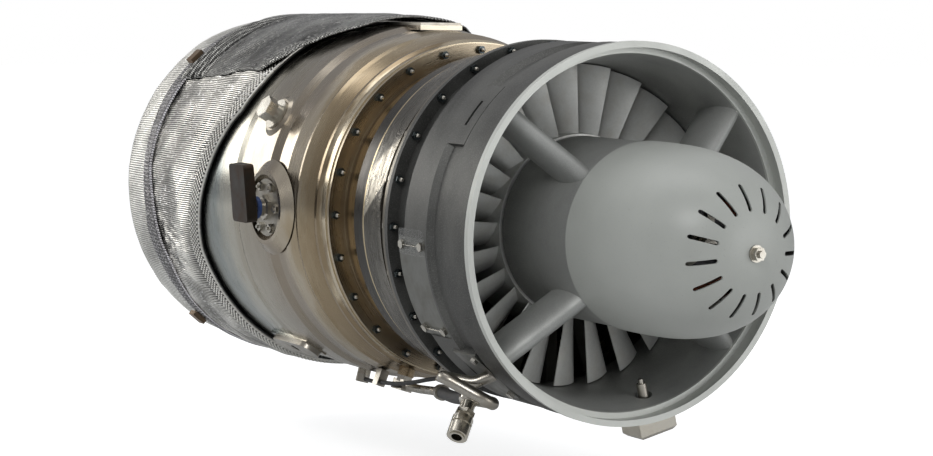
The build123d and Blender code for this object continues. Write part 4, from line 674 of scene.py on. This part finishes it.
def ribs(angle, count, shift=0.0):
    """Ribs along the engine: 1 on each crest and -1 in each groove."""
    return np.cos(np.radians(angle) * count + shift)


def table(value, points):
    """Reads a value between the points of a short table."""
    return np.interp(value, [p[0] for p in points], [p[1] for p in points])


def fade(value, start, width):
    """Rises from 0 at the start to 1 over a width; a negative width makes it fall to 0 at the start."""
    return np.clip((value - start) / width, 0, 1)


print("Grids of points ready")

# %% [markdown]
# Foil that was folded and handled has sharp creases at every slant. Each wave here is a zigzag across a
# random direction, bent a little so that no crease is straight, and a few of them added up look crumpled. The
# seed is fixed, so that the blanket is the same each time.

# %% Creases
CREASE_WAVES = 7
CREASE_BEND = 1.3


def crumple(angle, along, size, seed):
    """Creases of about a size in millimetres, 0 on average."""
    random = np.random.default_rng(seed)
    turn = np.radians(angle)
    place = np.stack((BLANKET_R * np.sin(turn), along, BLANKET_R * np.cos(turn)), axis=-1)
    total = np.zeros(angle.shape)
    for _ in range(CREASE_WAVES):
        way = random.normal(size=3)
        way /= np.linalg.norm(way)
        bend = random.normal(size=3) / (size * 2.2)
        stride = random.uniform(0.7, 1.6)
        phase = place @ way / size * stride + np.sin(place @ bend + random.uniform(0, 6)) * CREASE_BEND
        total += 1 - 2 * np.abs(np.sin(phase * math.pi / 2 + random.uniform(0, 6)))
    return total / CREASE_WAVES


def creases(angle, along, folds):
    """Creases of several sizes; folds gives each one's size, seed and height."""
    return sum(height * crumple(angle, along, size, seed) for size, seed, height in folds)


def wandering(angle, line, size, seed, amount):
    """A line round the engine from a table of degrees and millimetres, wandering like a hand cut."""
    return table(np.abs(angle), line) + amount * crumple(angle, 0 * angle, size, seed)


print("Creases of", CREASE_WAVES, "waves")

# %% [markdown]
# Foil is bright on its crests and dark in its grooves, because a groove reflects its own walls. The material
# takes that from the relief on the points, then adds clouds of dull and bright. The flap's weave is finer
# than any mesh should be, so it is a bump: two sets of slanting lines.

# %% Foil, weave and felt
WEAVE_LEANS = (0.55, -0.8)
WEAVE_PITCH = 0.0036
WEAVE_DEPTH = 0.16


def weave_pattern(finish):
    """Two sets of slanting lines multiplied, from 0 to 1."""
    split = finish.add("ShaderNodeSeparateXYZ", {0: finish.space["Ring"]}).outputs
    lines = []
    for lean in WEAVE_LEANS:
        slanted = finish.math("ADD", split[0], finish.math("MULTIPLY", split[1], lean))
        lines.append(finish.math("SINE", finish.math("MULTIPLY", slanted, 2 * math.pi / WEAVE_PITCH)))
    return finish.stage(finish.math("MULTIPLY", *lines), -0.6, 0.9)


def foil_finish(name, tone, groove, rough, woven=False):
    """Embossed foil; groove is how much of its brightness is left in a groove."""
    finish = Finish(name, 1.0, 0.3, tone)
    relief = finish.add("ShaderNodeAttribute", attribute_name="relief").outputs["Fac"]
    clouds = finish.grain(26, 6)
    fine = finish.cloud((420, 160, 420), 3, "Plain")
    height = finish.stage(relief, 0.32, 0.78)
    if woven:
        weave = weave_pattern(finish)
        height = finish.math("MULTIPLY", height, weave)
        finish.bump(weave, WEAVE_PITCH * WEAVE_DEPTH)
    colour = finish.blend(height, shade(tone, groove), tone)
    colour = finish.over(colour, shade(tone, 0.22), clouds, 0.48, 0.72, 0.52)
    finish.colour(finish.over(colour, shade(tone, 1.25), fine, 0.56, 0.7, 0.5))
    finish.roughness(finish.stage(clouds, 0.3, 0.7, *rough))
    return finish.material


FOIL_FRONT = foil_finish("blanket_foil", (0.93, 0.91, 0.85), 0.03, (0.24, 0.4))
FOIL_REAR = foil_finish("blanket_rear_foil", (0.97, 0.96, 0.91), 0.32, (0.34, 0.5))
FOIL_FLAP = foil_finish("blanket_flap_foil", (0.66, 0.655, 0.62), 0.04, (0.2, 0.36), woven=True)
TAPE = foil_finish("blanket_tape", (1.0, 0.98, 1.0), 0.10, (0.26, 0.4), woven=True)
CORD = plain_metal("blanket_cord", (0.66, 0.65, 0.68), 0.3, stained=0.3)
# The felt's near-black colour is painted shade, for the gap under the front panel's edge.
FELT = rubber("felt_painted_shade", (0.03, 0.03, 0.031), 0.85)
print("Foil, tape, cord and felt finishes ready")

# %% [markdown]
# The front panel is a sleeve whose front edge slants: it lies far forward at the top, under the flap, and
# runs back below. Behind the edge come a rolled hem, a band of coarse mesh, the ribbed foil with its pillow
# and creases, and a sewn valley at the seam. The rows are added in that order, from the felt on the inside,
# round the edge and over the outside to the seam. Low on each side the foil is worn and crushed.

# %% Front panel
RIB_COUNT = 510
COLUMNS_PER_RIB = 4
CAD_FELT_R = 174.4
EDGE_LINE = ((0, 450), (49, 454), (60, 462), (65, 473), (73, 485), (83, 498), (91, 508), (100, 516),
             (108, 521), (122, 517), (150, 512), (180, 510))
EDGE_WANDER = (60, 3, 1.2)
EDGE_TUCK, EDGE_TUCK_L = 2.4, 16.0
BASE_LINE = ((440, 178.4), (455, 179.3), (535, 178.6), (632, 176.6), (660, 174.6), (698, 172.6),
             (706, 166.5), (732, 131.0))
TAPE_FRONT = ((0, 632), (57, 633), (83, 634), (93, 624), (108, 621), (116, 615), (130, 622), (180, 630))
SEAM_UNDER_TAPE = 4
LINING_ROWS = ((7, 0), (1.5, 0.75 * EDGE_TUCK), (0.3, 0.75 * EDGE_TUCK))
EDGE_DROP, BACK_DROP = -2.4, -2.2
HEM_ROWS = ((0.1, -1.2), (0.5, -0.1), (1.1, -0.1), (1.6, -1.0))
HEM_RELIEF = 0.62
BAND_START, BAND_L, BAND_ROWS, BAND_H = 2.2, 13.0, 12, 1.5
FOIL_START, FOIL_END, FOIL_ROWS = 16.2, 7, 17
VALLEY_ROWS = ((3, -1.3), (0, -1.6))
PILLOW_H = 1.8
FRONT_CREASES = ((46, 11, 2.2), (15, 12, 1.2))
WORN_CREASES = ((7, 14, 1.8),)
WORN_SIDE, WORN_SIDE_END, WORN_SIDE_FADE = 96, 124, 8
WORN_ALONG, WORN_ALONG_FADE = 548, 14


def front_foil(angle, along):
    """The foil's soft creases, the height of its ribs, and its relief."""
    side = np.abs(angle)
    worn = fade(side, WORN_SIDE, WORN_SIDE_FADE) * fade(side, WORN_SIDE_END, -WORN_SIDE_FADE)
    worn = worn * fade(along, WORN_ALONG, WORN_ALONG_FADE)
    soft = creases(angle, along, FRONT_CREASES) + worn * creases(angle, along, WORN_CREASES)
    rib = ribs(angle, RIB_COUNT, 0.5 * np.sin(along / 9 + angle / 4))
    rib_height = rib * np.clip(0.50 + 0.30 * crumple(angle, along, 30, 13), 0.12, 0.8)
    # Where the foil is worn the relief is raised, which takes out the painted shade in its grooves and leaves
    # the crushed foil bright, a painted glint.
    relief = 0.5 + 0.5 * rib * np.clip(1.1 - worn * 0.6, 0, 1) + 0.20 * soft + 0.45 * worn
    return soft, rib_height, relief


def front_panel():
    """The sleeve from its lining, over the hem, the mesh band and the foil, to the seam."""
    angle = columns_round(RIB_COUNT * COLUMNS_PER_RIB)
    level = 0 * angle
    edge = wandering(angle, EDGE_LINE, *EDGE_WANDER)
    seam = table(np.abs(angle), TAPE_FRONT) + SEAM_UNDER_TAPE
    rows = [(angle, edge + step, CAD_FELT_R - tuck + level, 0.5 + level) for step, tuck in LINING_ROWS]

    def add(along, lift, relief):
        """One row of the outside, lifted off the panel's base line."""
        base = table(along, BASE_LINE) - EDGE_TUCK * (1 - fade(along, edge, EDGE_TUCK_L))
        rows.append((angle, along, base + lift, relief + level))

    add(edge, EDGE_DROP, 0.5)
    for step, lift in HEM_ROWS:
        add(edge + step, lift, HEM_RELIEF)
    for step in range(BAND_ROWS):
        relief = 0.48 + 0.5 * ribs(angle, RIB_COUNT / 2, np.pi * (step // 2 % 2))
        add(edge + BAND_START + step * BAND_L / (BAND_ROWS - 1), BAND_H * (relief - 0.5), relief)
    for share in np.linspace(0, 1, FOIL_ROWS):
        along = edge + FOIL_START + (seam - FOIL_END - edge - FOIL_START) * share
        soft, rib_height, relief = front_foil(angle, along)
        add(along, PILLOW_H * np.sin(np.pi * share) + soft + rib_height, relief)
    for step, lift in VALLEY_ROWS:
        soft, rib_height, relief = front_foil(angle, seam - step)
        add(seam - step, lift + 0.3 * soft + rib_height, relief - 0.3)
    add(seam, BACK_DROP, 0.5)
    return panel_mesh("blanket_front_panel", rows, (FOIL_FRONT, FELT), (0, 1, 2, len(rows) - 1))


blanket_front = front_panel()
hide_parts("blanket_front")
print("Front panel", len(blanket_front.data.vertices), "points")

# %% [markdown]
# The rear panel covers the shoulder and turns in towards the jet nozzle, then back on its inside. Its ribs
# also run along the engine, and they fade out where the foil turns in.

# %% Rear panel
REAR_RIBS = 455
REAR_RIB_H = 0.36
TAPE_REAR = ((0, 656), (58, 656), (70, 652), (97, 646), (105, 650), (120, 643), (180, 650))
REAR_UNDER_TAPE = 4
REAR_START_RADII = (172.4, 175.0)
SHOULDER = 698
SHOULDER_SHARES = np.linspace(0.06, 1, 13)
TURN_IN = ((704, 169.4, 1), (708, 165.2, 1), (717, 152.5, 1), (726, 139.8, 1), (731, 132.0, 0.4),
           (731.5, 127, 0), (730, 123.6, 0), (727, 125, 0), (712, 148, 0), (700, 164, 0))
REAR_CREASES = ((40, 21, 1.3), (15, 22, 0.5))
REAR_PILLOW_H = 1.4


def rear_panel():
    """The sleeve from under the tape, over the shoulder and in to the nozzle."""
    angle = columns_round(REAR_RIBS * COLUMNS_PER_RIB)
    tape = table(np.abs(angle), TAPE_REAR) - REAR_UNDER_TAPE
    rib = ribs(angle, REAR_RIBS)
    rows = []

    def add(along, base, ribbed, pillow=0.0):
        """One row on a base radius; ribbed is how much of ribs and creases it has."""
        soft = creases(angle, along, REAR_CREASES)
        rows.append((angle, along, base + ribbed * (soft + pillow + REAR_RIB_H * rib),
                     0.5 + 0.5 * rib * ribbed + 0.15 * soft))

    for radius in REAR_START_RADII:
        add(tape, radius, 0)
    for share in SHOULDER_SHARES:
        along = tape + (SHOULDER - tape) * share
        add(along, table(along, BASE_LINE), 1, REAR_PILLOW_H * np.sin(np.pi * share))
    for along, radius, ribbed in TURN_IN:
        add(along + 0 * angle, radius, ribbed)
    return panel_mesh("blanket_rear_panel", rows, (FOIL_REAR,))


blanket_rear = rear_panel()
print("Rear panel", len(blanket_rear.data.vertices), "points")

# %% [markdown]
# A woven binding tape lies over the seam of the two panels, ribbed across, and its edges wander as sewn
# edges do. Its section starts and ends a little under its own edges, so that the tape looks folded.

# %% Binding tape
TAPE_RIBS = 280
TAPE_RIB_H = 0.45
TAPE_LIFT = 0.8
TAPE_UNDER_FRONT = ((0.03, -1.4), (0.0, 0.2))
TAPE_UNDER_REAR = ((1.0, 0.0), (0.97, -1.6))
TAPE_TOP_SHARES = np.linspace(0.06, 0.94, 12)
FRONT_WANDER, REAR_WANDER = (34, 31, 1.0), (34, 32, 1.0)
TAPE_CREASES = ((24, 33, 0.8),)


def binding_tape():
    """The tape's section, swept round between its two wandering edges."""
    angle = columns_round(TAPE_RIBS * COLUMNS_PER_RIB)
    front = wandering(angle, TAPE_FRONT, *FRONT_WANDER)
    rear = wandering(angle, TAPE_REAR, *REAR_WANDER)
    section = [*TAPE_UNDER_FRONT, *((share, 1.0) for share in TAPE_TOP_SHARES), *TAPE_UNDER_REAR]
    rows = []
    for index, (share, lift) in enumerate(section):
        along = front + (rear - front) * share
        rib = ribs(angle, TAPE_RIBS, np.pi * (index % 2) * 0.6)
        soft = creases(angle, along, TAPE_CREASES)
        top = lift > 0.5
        radius = table(along, BASE_LINE) + TAPE_LIFT + lift + top * (soft + TAPE_RIB_H * rib)
        rows.append((angle, along, radius, 0.45 + top * (0.4 * rib + 0.3 * soft)))
    return panel_mesh("blanket_binding", rows, (TAPE,))


blanket_tape = binding_tape()
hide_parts("blanket_rear")
print("Binding tape", len(blanket_tape.data.vertices), "points")

# %% [markdown]
# The flap is a stiffer, darker panel that laps over the front one at the top. Its front corner is cut back in
# steps, its front edge has a hem of coarse mesh, and the metal has kept the folds of fitting it: long ones
# beside the seam and a dent on each side. Its grid is open at the sides, which get a face each.

# %% Upper flap
FLAP_FRONT_LINE = ((0, 396), (17, 393), (19.6, 394), (24, 409), (31, 425), (34.5, 441), (39.7, 447),
                   (44, 460), (46.2, 465))
FLAP_SIDE_LINE = ((460, 46.0), (473, 46.2), (512, 46.4), (534, 48.8), (584, 50.0), (613, 51.0), (640, 51.5))
FLAP_R = 180.0
FLAP_REAR = 636.0
FLAP_COLUMNS = 300
FLAP_HALF_W = 155
FLAP_HEM, FLAP_HEM_ROWS, FLAP_ROWS = 12.0, 12, 92
FLAP_DROP, FLAP_DROP_FROM, FLAP_DROP_L = 2.2, 560, 60
FLAP_OVER_PANEL = 2.4
FLAP_WALL = 1.0
FLAP_CREASES = ((52, 41, 1.3), (18, 42, 0.8))
FOLD_H, FOLD_PITCH = 2.2, 15
FOLD_FROM, FOLD_IN, FOLD_TO, FOLD_OUT = 575, 20, 640, -12
DENT_DEPTH, DENT_ALONG, DENT_L, DENT_ANGLE, DENT_W = 3.2, 527, 9, 39, 5
RIM_DROP, RIM_W = 1.5, 3


def flap_row(side, front, index, step):
    """One row of the flap's outside: its angles, places along, radii and relief."""
    along = front + step
    if index >= FLAP_HEM_ROWS:
        along = front + FLAP_HEM + (FLAP_REAR - front - FLAP_HEM) * step
    angle = side * table(along, FLAP_SIDE_LINE)
    panel = table(along, BASE_LINE)
    drop = FLAP_DROP * fade(along, FLAP_DROP_FROM, FLAP_DROP_L)
    radius = np.maximum(panel + FLAP_OVER_PANEL, FLAP_R - drop)
    soft = creases(angle, along, FLAP_CREASES)
    near_seam = fade(along, FOLD_FROM, FOLD_IN) * fade(along, FOLD_TO, FOLD_OUT) * fade(np.abs(angle), 6, 12)
    zigzag = 1 - 2 * np.abs(np.sin((along + 4 * np.sin(angle / 7)) / FOLD_PITCH * np.pi))
    folds = near_seam * FOLD_H * zigzag
    dent = np.exp(-((along - DENT_ALONG) / DENT_L) ** 2 - ((np.abs(angle) - DENT_ANGLE) / DENT_W) ** 2)
    to_edge = np.minimum(along - front, (1 - np.abs(side)) * FLAP_HALF_W)
    lift = 1.4 + soft * 0.7 + folds - DENT_DEPTH * dent - RIM_DROP * fade(to_edge, RIM_W, -RIM_W)
    relief = 0.74 + 0.30 * soft + 0.25 * folds
    if index < FLAP_HEM_ROWS:
        dots = np.cos(np.arange(FLAP_COLUMNS) * np.pi / 2 + np.pi * (index // 2 % 2))
        lift = lift + 0.35 * dots * (index > 0)
        relief = 0.75 + 0.45 * dots
    return angle, along, np.maximum(radius + lift, panel + 1.2), relief


def flap_panel():
    """The flap's outside from front to rear, then its inside back to the front."""
    side = np.linspace(-1, 1, FLAP_COLUMNS)
    front = table(np.abs(side) * FLAP_FRONT_LINE[-1][0], FLAP_FRONT_LINE)
    steps = [*np.linspace(0, FLAP_HEM, FLAP_HEM_ROWS), *np.linspace(0.05, 1, FLAP_ROWS)]
    top = [flap_row(side, front, index, step) for index, step in enumerate(steps)]
    low = [(angle, along, np.minimum(radius - FLAP_WALL, table(along, BASE_LINE) + 1.0), 0 * relief + 0.3)
           for angle, along, radius, relief in reversed(top)]
    return panel_mesh("blanket_flap_panel", top + low, (FOIL_FLAP,), closed=False)


blanket_flap = flap_panel()
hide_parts("blanket_flap")
print("Flap", len(blanket_flap.data.vertices), "points")

# %% [markdown]
# Stitches and stud ends repeat by the dozen, so two small Geometry Nodes trees set them out. Both start from
# named inputs and end in real mesh with its material, and their result is kept as a plain mesh, because the
# frame's pieces can't be live instances.

# %% Helpers for trees


def new_tree(name, sizes):
    """An empty Geometry Nodes tree with named inputs; sizes gives each one's name and type."""
    tree = bpy.data.node_groups.new(name, "GeometryNodeTree")
    tree.interface.new_socket("Geometry", in_out="INPUT", socket_type="NodeSocketGeometry")
    for label, kind in sizes:
        tree.interface.new_socket(label, in_out="INPUT", socket_type=kind)
    tree.interface.new_socket("Geometry", in_out="OUTPUT", socket_type="NodeSocketGeometry")
    return tree, node(tree, "NodeGroupInput").outputs


def close_tree(tree, geometry, finish):
    """Realize Instances, smooth shading and a material, then the output."""
    real = node(tree, "GeometryNodeRealizeInstances", {0: geometry})
    smooth = node(tree, "GeometryNodeSetShadeSmooth", {0: real.outputs[0]})
    dressed = node(tree, "GeometryNodeSetMaterial", {0: smooth.outputs[0], "Material": finish})
    node(tree, "NodeGroupOutput", {0: dressed.outputs[0]})


def evaluated_mesh(obj):
    """A plain mesh of what an object shows."""
    return bpy.data.meshes.new_from_object(obj.evaluated_get(bpy.context.evaluated_depsgraph_get()))


def grown(name, tree, values, points=((0, 0, 0),), closed=False):
    """Runs a tree on a line of points and keeps the result as a plain mesh."""
    seed = bpy.data.meshes.new(name + "_line")
    count = len(points)
    edges = [(i, (i + 1) % count) for i in range(count if closed else count - 1)]
    seed.from_pydata([tuple(p) for p in points], edges, [])
    piece = placed(name, seed)
    modifier = piece.modifiers.new("grow", "NODES")
    modifier.node_group = tree
    for item in tree.interface.items_tree:
        if item.in_out == "INPUT" and item.name in values:
            modifier[item.identifier] = values[item.name]
    made = evaluated_mesh(piece)
    piece.modifiers.remove(modifier)
    piece.data = made
    return piece


print("Tree helpers ready")

# %% [markdown]
# The seam's cord is two rows of slanted stitches, just ahead of the tape. Its tree makes steps along a line
# and puts a bead on each, turned to the line and leaned by the slant, so the rows lean towards each other.

# %% Seam stitches
STITCH = {"Pitch": 0.0027, "Length": 0.0029, "Width": 0.0019}
SEAM_ROWS = (("seam_cord_front", 4.6, 0.7), ("seam_cord_rear", 1.9, -0.7))
SEAM_POINTS = 360
SEAM_LIFT = 0.9


def stitch_tree():
    """Beads at even steps along a line."""
    tree, inputs = new_tree("stitches", (("Pitch", "NodeSocketFloat"), ("Length", "NodeSocketFloat"),
                                         ("Width", "NodeSocketFloat"), ("Slant", "NodeSocketFloat")))
    line = node(tree, "GeometryNodeMeshToCurve", {0: inputs["Geometry"]})
    steps = node(tree, "GeometryNodeResampleCurve", {"Curve": line.outputs[0], "Length": inputs["Pitch"]},
                 mode="LENGTH")
    bead = node(tree, "GeometryNodeMeshUVSphere", {"Segments": 6, "Rings": 4, "Radius": 0.5})
    tangent = node(tree, "GeometryNodeInputTangent")
    along = node(tree, "FunctionNodeAlignRotationToVector", {"Vector": tangent.outputs[0]}, axis="X")
    lean = node(tree, "ShaderNodeCombineXYZ", {2: inputs["Slant"]})
    turned = node(tree, "FunctionNodeRotateRotation", {0: along.outputs[0], 1: lean.outputs[0]},
                  rotation_space="LOCAL")
    size = node(tree, "ShaderNodeCombineXYZ", {0: inputs["Length"], 1: inputs["Width"], 2: inputs["Width"]})
    beads = node(tree, "GeometryNodeInstanceOnPoints", {
        "Points": steps.outputs[0], "Instance": bead.outputs[0], "Rotation": turned.outputs[0],
        "Scale": size.outputs[0]})
    close_tree(tree, beads.outputs[0], CORD)
    return tree


def seam_line(ahead):
    """Points round the engine, a distance ahead of the tape's front edge."""
    angle = np.linspace(-180, 180, SEAM_POINTS, endpoint=False)
    along = wandering(angle, TAPE_FRONT, *FRONT_WANDER) - ahead
    return [around(a, y, float(table(y, BASE_LINE)) + SEAM_LIFT) for a, y in zip(angle, along)]


STITCHES = stitch_tree()
seam_cords = [grown(name, STITCHES, {**STITCH, "Slant": slant}, seam_line(ahead), closed=True)
              for name, ahead, slant in SEAM_ROWS]
print("Stitch points", [len(item.data.vertices) for item in seam_cords])

# %% [markdown]
# On the flanges each dark nut shows the bright end of its stud, which is what catches the eye in the ring of
# nuts. The second tree puts a stud's chamfered end at even angles on a circle and turns the circle to face
# the intake.

# %% Stud ends
STUD = {"Count": 24, "Stud": 0.0019, "Length": 0.0022}
STUD_SUNK = 0.0009
NUT_RINGS = (("front_stud_ends", 0.158, 0.1384), ("rear_stud_ends", 0.151, 0.2614))


def stud_tree():
    """Stud ends on a circle."""
    tree, inputs = new_tree("stud_ends", (("Count", "NodeSocketInt"), ("Circle", "NodeSocketFloat"),
                                          ("Stud", "NodeSocketFloat"), ("Length", "NodeSocketFloat"),
                                          ("Along", "NodeSocketFloat")))
    circle = node(tree, "GeometryNodeMeshCircle", {"Vertices": inputs["Count"], "Radius": inputs["Circle"]})
    shank = node(tree, "GeometryNodeMeshCone", {"Vertices": 10, "Radius Top": inputs["Stud"],
                                                "Radius Bottom": inputs["Stud"], "Depth": inputs["Length"]})
    small = node(tree, "ShaderNodeMath", {0: inputs["Stud"], 1: 0.6}, operation="MULTIPLY")
    tip_length = node(tree, "ShaderNodeMath", {0: inputs["Length"], 1: 0.35}, operation="MULTIPLY")
    tip = node(tree, "GeometryNodeMeshCone", {
        "Vertices": 10, "Radius Top": small.outputs[0], "Radius Bottom": inputs["Stud"],
        "Depth": tip_length.outputs[0]})
    lift = node(tree, "ShaderNodeCombineXYZ", {2: inputs["Length"]})
    raised = node(tree, "GeometryNodeTransform", {"Geometry": tip.outputs[0], "Translation": lift.outputs[0]})
    stud = node(tree, "GeometryNodeJoinGeometry", {0: shank.outputs[0]})
    tree.links.new(raised.outputs[0], stud.inputs[0])
    studs = node(tree, "GeometryNodeInstanceOnPoints", {
        "Points": circle.outputs[0], "Instance": stud.outputs[0]})
    shift = node(tree, "ShaderNodeCombineXYZ", {1: inputs["Along"]})
    turned = node(tree, "GeometryNodeTransform", {
        "Geometry": studs.outputs[0], "Translation": shift.outputs[0], "Rotation": (math.pi / 2, 0, 0)})
    close_tree(tree, turned.outputs[0], STEEL)
    return tree


STUD_ENDS = stud_tree()
stud_ends = [grown(name, STUD_ENDS, {**STUD, "Circle": radius, "Along": front - STUD_SUNK})
             for name, radius, front in NUT_RINGS]
print("Stud points", [len(item.data.vertices) for item in stud_ends])

# %% [markdown]
# Round the side connection the flange is held by six nuts inside the raised ring, and the cone of the
# connection is held by a large one. A nut is six sided with a chamfer, so it is a short loop of mesh code.

# %% Nuts in the side port
PORT_ANGLE, PORT_ALONG, PORT_FLANGE_R = -90, 364, 172
PORT_NUT_CIRCLE = 22
PORT_NUTS = 6
PORT_NUT = (7.5 * MM, 3.4 * MM, 2.0 * MM)
GLAND_NUT = (21 * MM, 5 * MM, 8.1 * MM)
port_centre = frame_at(PORT_ANGLE, PORT_ALONG, PORT_FLANGE_R)


def add_nut(made, place, across, height, stud):
    """A chamfered hexagon nut with its stud's end, standing on a place's local XY plane."""
    corner = across / 2 / math.cos(math.pi / 6)
    bevel = across * 0.06
    rows = []
    for radius, z in ((corner, 0), (corner, height - bevel), (corner - 1.6 * bevel, height)):
        turns = [math.radians(60 * side) for side in range(6)]
        rows.append([made.verts.new(place @ Vector((radius * math.cos(turn), radius * math.sin(turn), z)))
                     for turn in turns])
    for low, high in zip(rows, rows[1:]):
        for i in range(6):
            made.faces.new((low[i], low[(i + 1) % 6], high[(i + 1) % 6], high[i]))
    made.faces.new(rows[0][::-1])
    made.faces.new(rows[-1])
    bmesh.ops.create_cone(made, segments=12, radius1=stud, radius2=stud * 0.8, depth=height * 1.6,
                          cap_ends=True, matrix=place @ Matrix.Translation((0, 0, height * 0.8)))


def port_nuts():
    """The ring of nuts and the large one, as one piece."""
    made = bmesh.new()
    for index in range(PORT_NUTS):
        turn = math.radians(30 + 360 / PORT_NUTS * index)
        shift = Matrix.Translation(Vector((math.cos(turn), math.sin(turn), 0)) * PORT_NUT_CIRCLE * MM)
        add_nut(made, port_centre @ shift, *PORT_NUT)
    add_nut(made, port_centre, *GLAND_NUT)
    mesh = bpy.data.meshes.new("side_port_nuts")
    made.to_mesh(mesh)
    made.free()
    mesh.materials.append(STEEL)
    return placed("side_port_nuts", mesh)


port_fasteners = port_nuts()
print("Side port fasteners", len(port_fasteners.data.vertices), "points")

# %% [markdown]
# A clear film lies over the upper end of the side cover. It is a thin shell, made on the same kind of grid as
# the blanket, and nearly all of it is seen through.

# %% Clear film
FILM_CLEAR = 0.14
FILM_ANGLE, FILM_HALF_W = -93.5, 4.0
FILM_ALONG, FILM_HALF_L = 101.0, 22.0
FILM_R, FILM_THICKNESS = 162.6, 0.25
FILM_COLUMNS, FILM_ROWS = 26, 30


def clear_finish():
    """Thin clear film, seen mostly by its creases and its edge."""
    finish = Finish("clear_film", 0.0, 0.35, (0.30, 0.30, 0.29))
    crease = finish.cloud((60, 90, 60), 4, "Plain", distortion=1.2)
    finish.colour(finish.over((0.26, 0.26, 0.25), (0.36, 0.36, 0.35), crease, 0.45, 0.65))
    finish.shader.inputs["Alpha"].default_value = FILM_CLEAR
    return finish.material


def film_patch():
    """A film over the side cover's end, with its corners drawn in."""
    across = np.linspace(-1, 1, FILM_COLUMNS)
    top = []
    for share in np.linspace(-1, 1, FILM_ROWS):
        corner = 1 - 0.10 * fade(abs(share), 0.8, 0.2)
        angle = FILM_ANGLE + FILM_HALF_W * across * corner
        along = FILM_ALONG + FILM_HALF_L * share + 0 * across
        crease = crumple(angle, along, 9, 51)
        top.append((angle, along, FILM_R + 0.15 * crease, crease))
    low = [(angle, along, radius - FILM_THICKNESS, crease) for angle, along, radius, crease in reversed(top)]
    return panel_mesh("clear_film_patch", top + low, (clear_finish(),), closed=False)


film = film_patch()
print("Clear film", len(film.data.vertices), "points")

# %% [markdown]
# The side cover's bolts are tied in pairs with lockwire: two strands twisted together, which keep a bolt
# from turning. Each strand is a curve with a round bevel, and the two wind round the same line on opposite
# sides of it.

# %% Lockwire
BOLT_TOP_R = 163.2
WIRE_R, TWIST_R = 0.4, 0.5
HALF_TURNS, POINTS_PER_HALF_TURN = 7, 6
WIRE_SAG = 0.2
WIRE_ENDS = (84, 117)
WIRES = (("lockwire_upper", -94.5), ("lockwire_lower", -122))


def tube(name, points, radius, finish):
    """A round tube along points, made with a curve's bevel and kept as a mesh."""
    curve = bpy.data.curves.new(name, "CURVE")
    curve.dimensions = "3D"
    curve.bevel_depth = radius
    curve.bevel_resolution = 3
    curve.use_fill_caps = True
    spline = curve.splines.new("POLY")
    spline.points.add(len(points) - 1)
    for point, place in zip(spline.points, points):
        point.co = (*place, 1)
    holder = placed(name, curve)
    mesh = evaluated_mesh(holder)
    bpy.data.objects.remove(holder)
    mesh.materials.clear()
    mesh.materials.append(finish)
    mesh.polygons.foreach_set("use_smooth", [True] * len(mesh.polygons))
    return placed(name, mesh)


def lockwire(name, angle):
    """Two strands twisted round each other between two bolt heads at one angle."""
    strands = []
    steps = HALF_TURNS * POINTS_PER_HALF_TURN
    for suffix, side in (("_a", 0), ("_b", math.pi)):
        points = []
        for step in range(steps + 1):
            share = step / steps
            along = WIRE_ENDS[0] + (WIRE_ENDS[1] - WIRE_ENDS[0]) * share
            centre = around(angle, along, BOLT_TOP_R - WIRE_SAG * math.sin(math.pi * share))
            twist = side + share * HALF_TURNS * math.pi
            offset = outward(angle) * math.cos(twist) + Vector((0, math.sin(twist), 0))
            points.append(centre + offset * TWIST_R * MM)
        strands.append(tube(name + suffix, points, WIRE_R * MM, STEEL))
    return strands


wires = [strand for name, angle in WIRES for strand in lockwire(name, angle)]
print("Lockwire strands", len(wires))

# %% [markdown]
# Every piece made here is fixed to the engine's still body. The blanket's panels and the tape over their seam
# are filled quilts.

# %% Riding pieces
for piece, fill in ((blanket_front, 0.4), (blanket_rear, 0.4), (blanket_flap, 0.3), (blanket_tape, 0.7)):
    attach(piece, "engine")
for pieces, finish in ((seam_cords, "blanket"), (stud_ends + wires + [port_fasteners, film], "steel")):
    for item in pieces:
        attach(item, "engine")
print("Quilted pieces, stitches and fasteners ride on the engine")
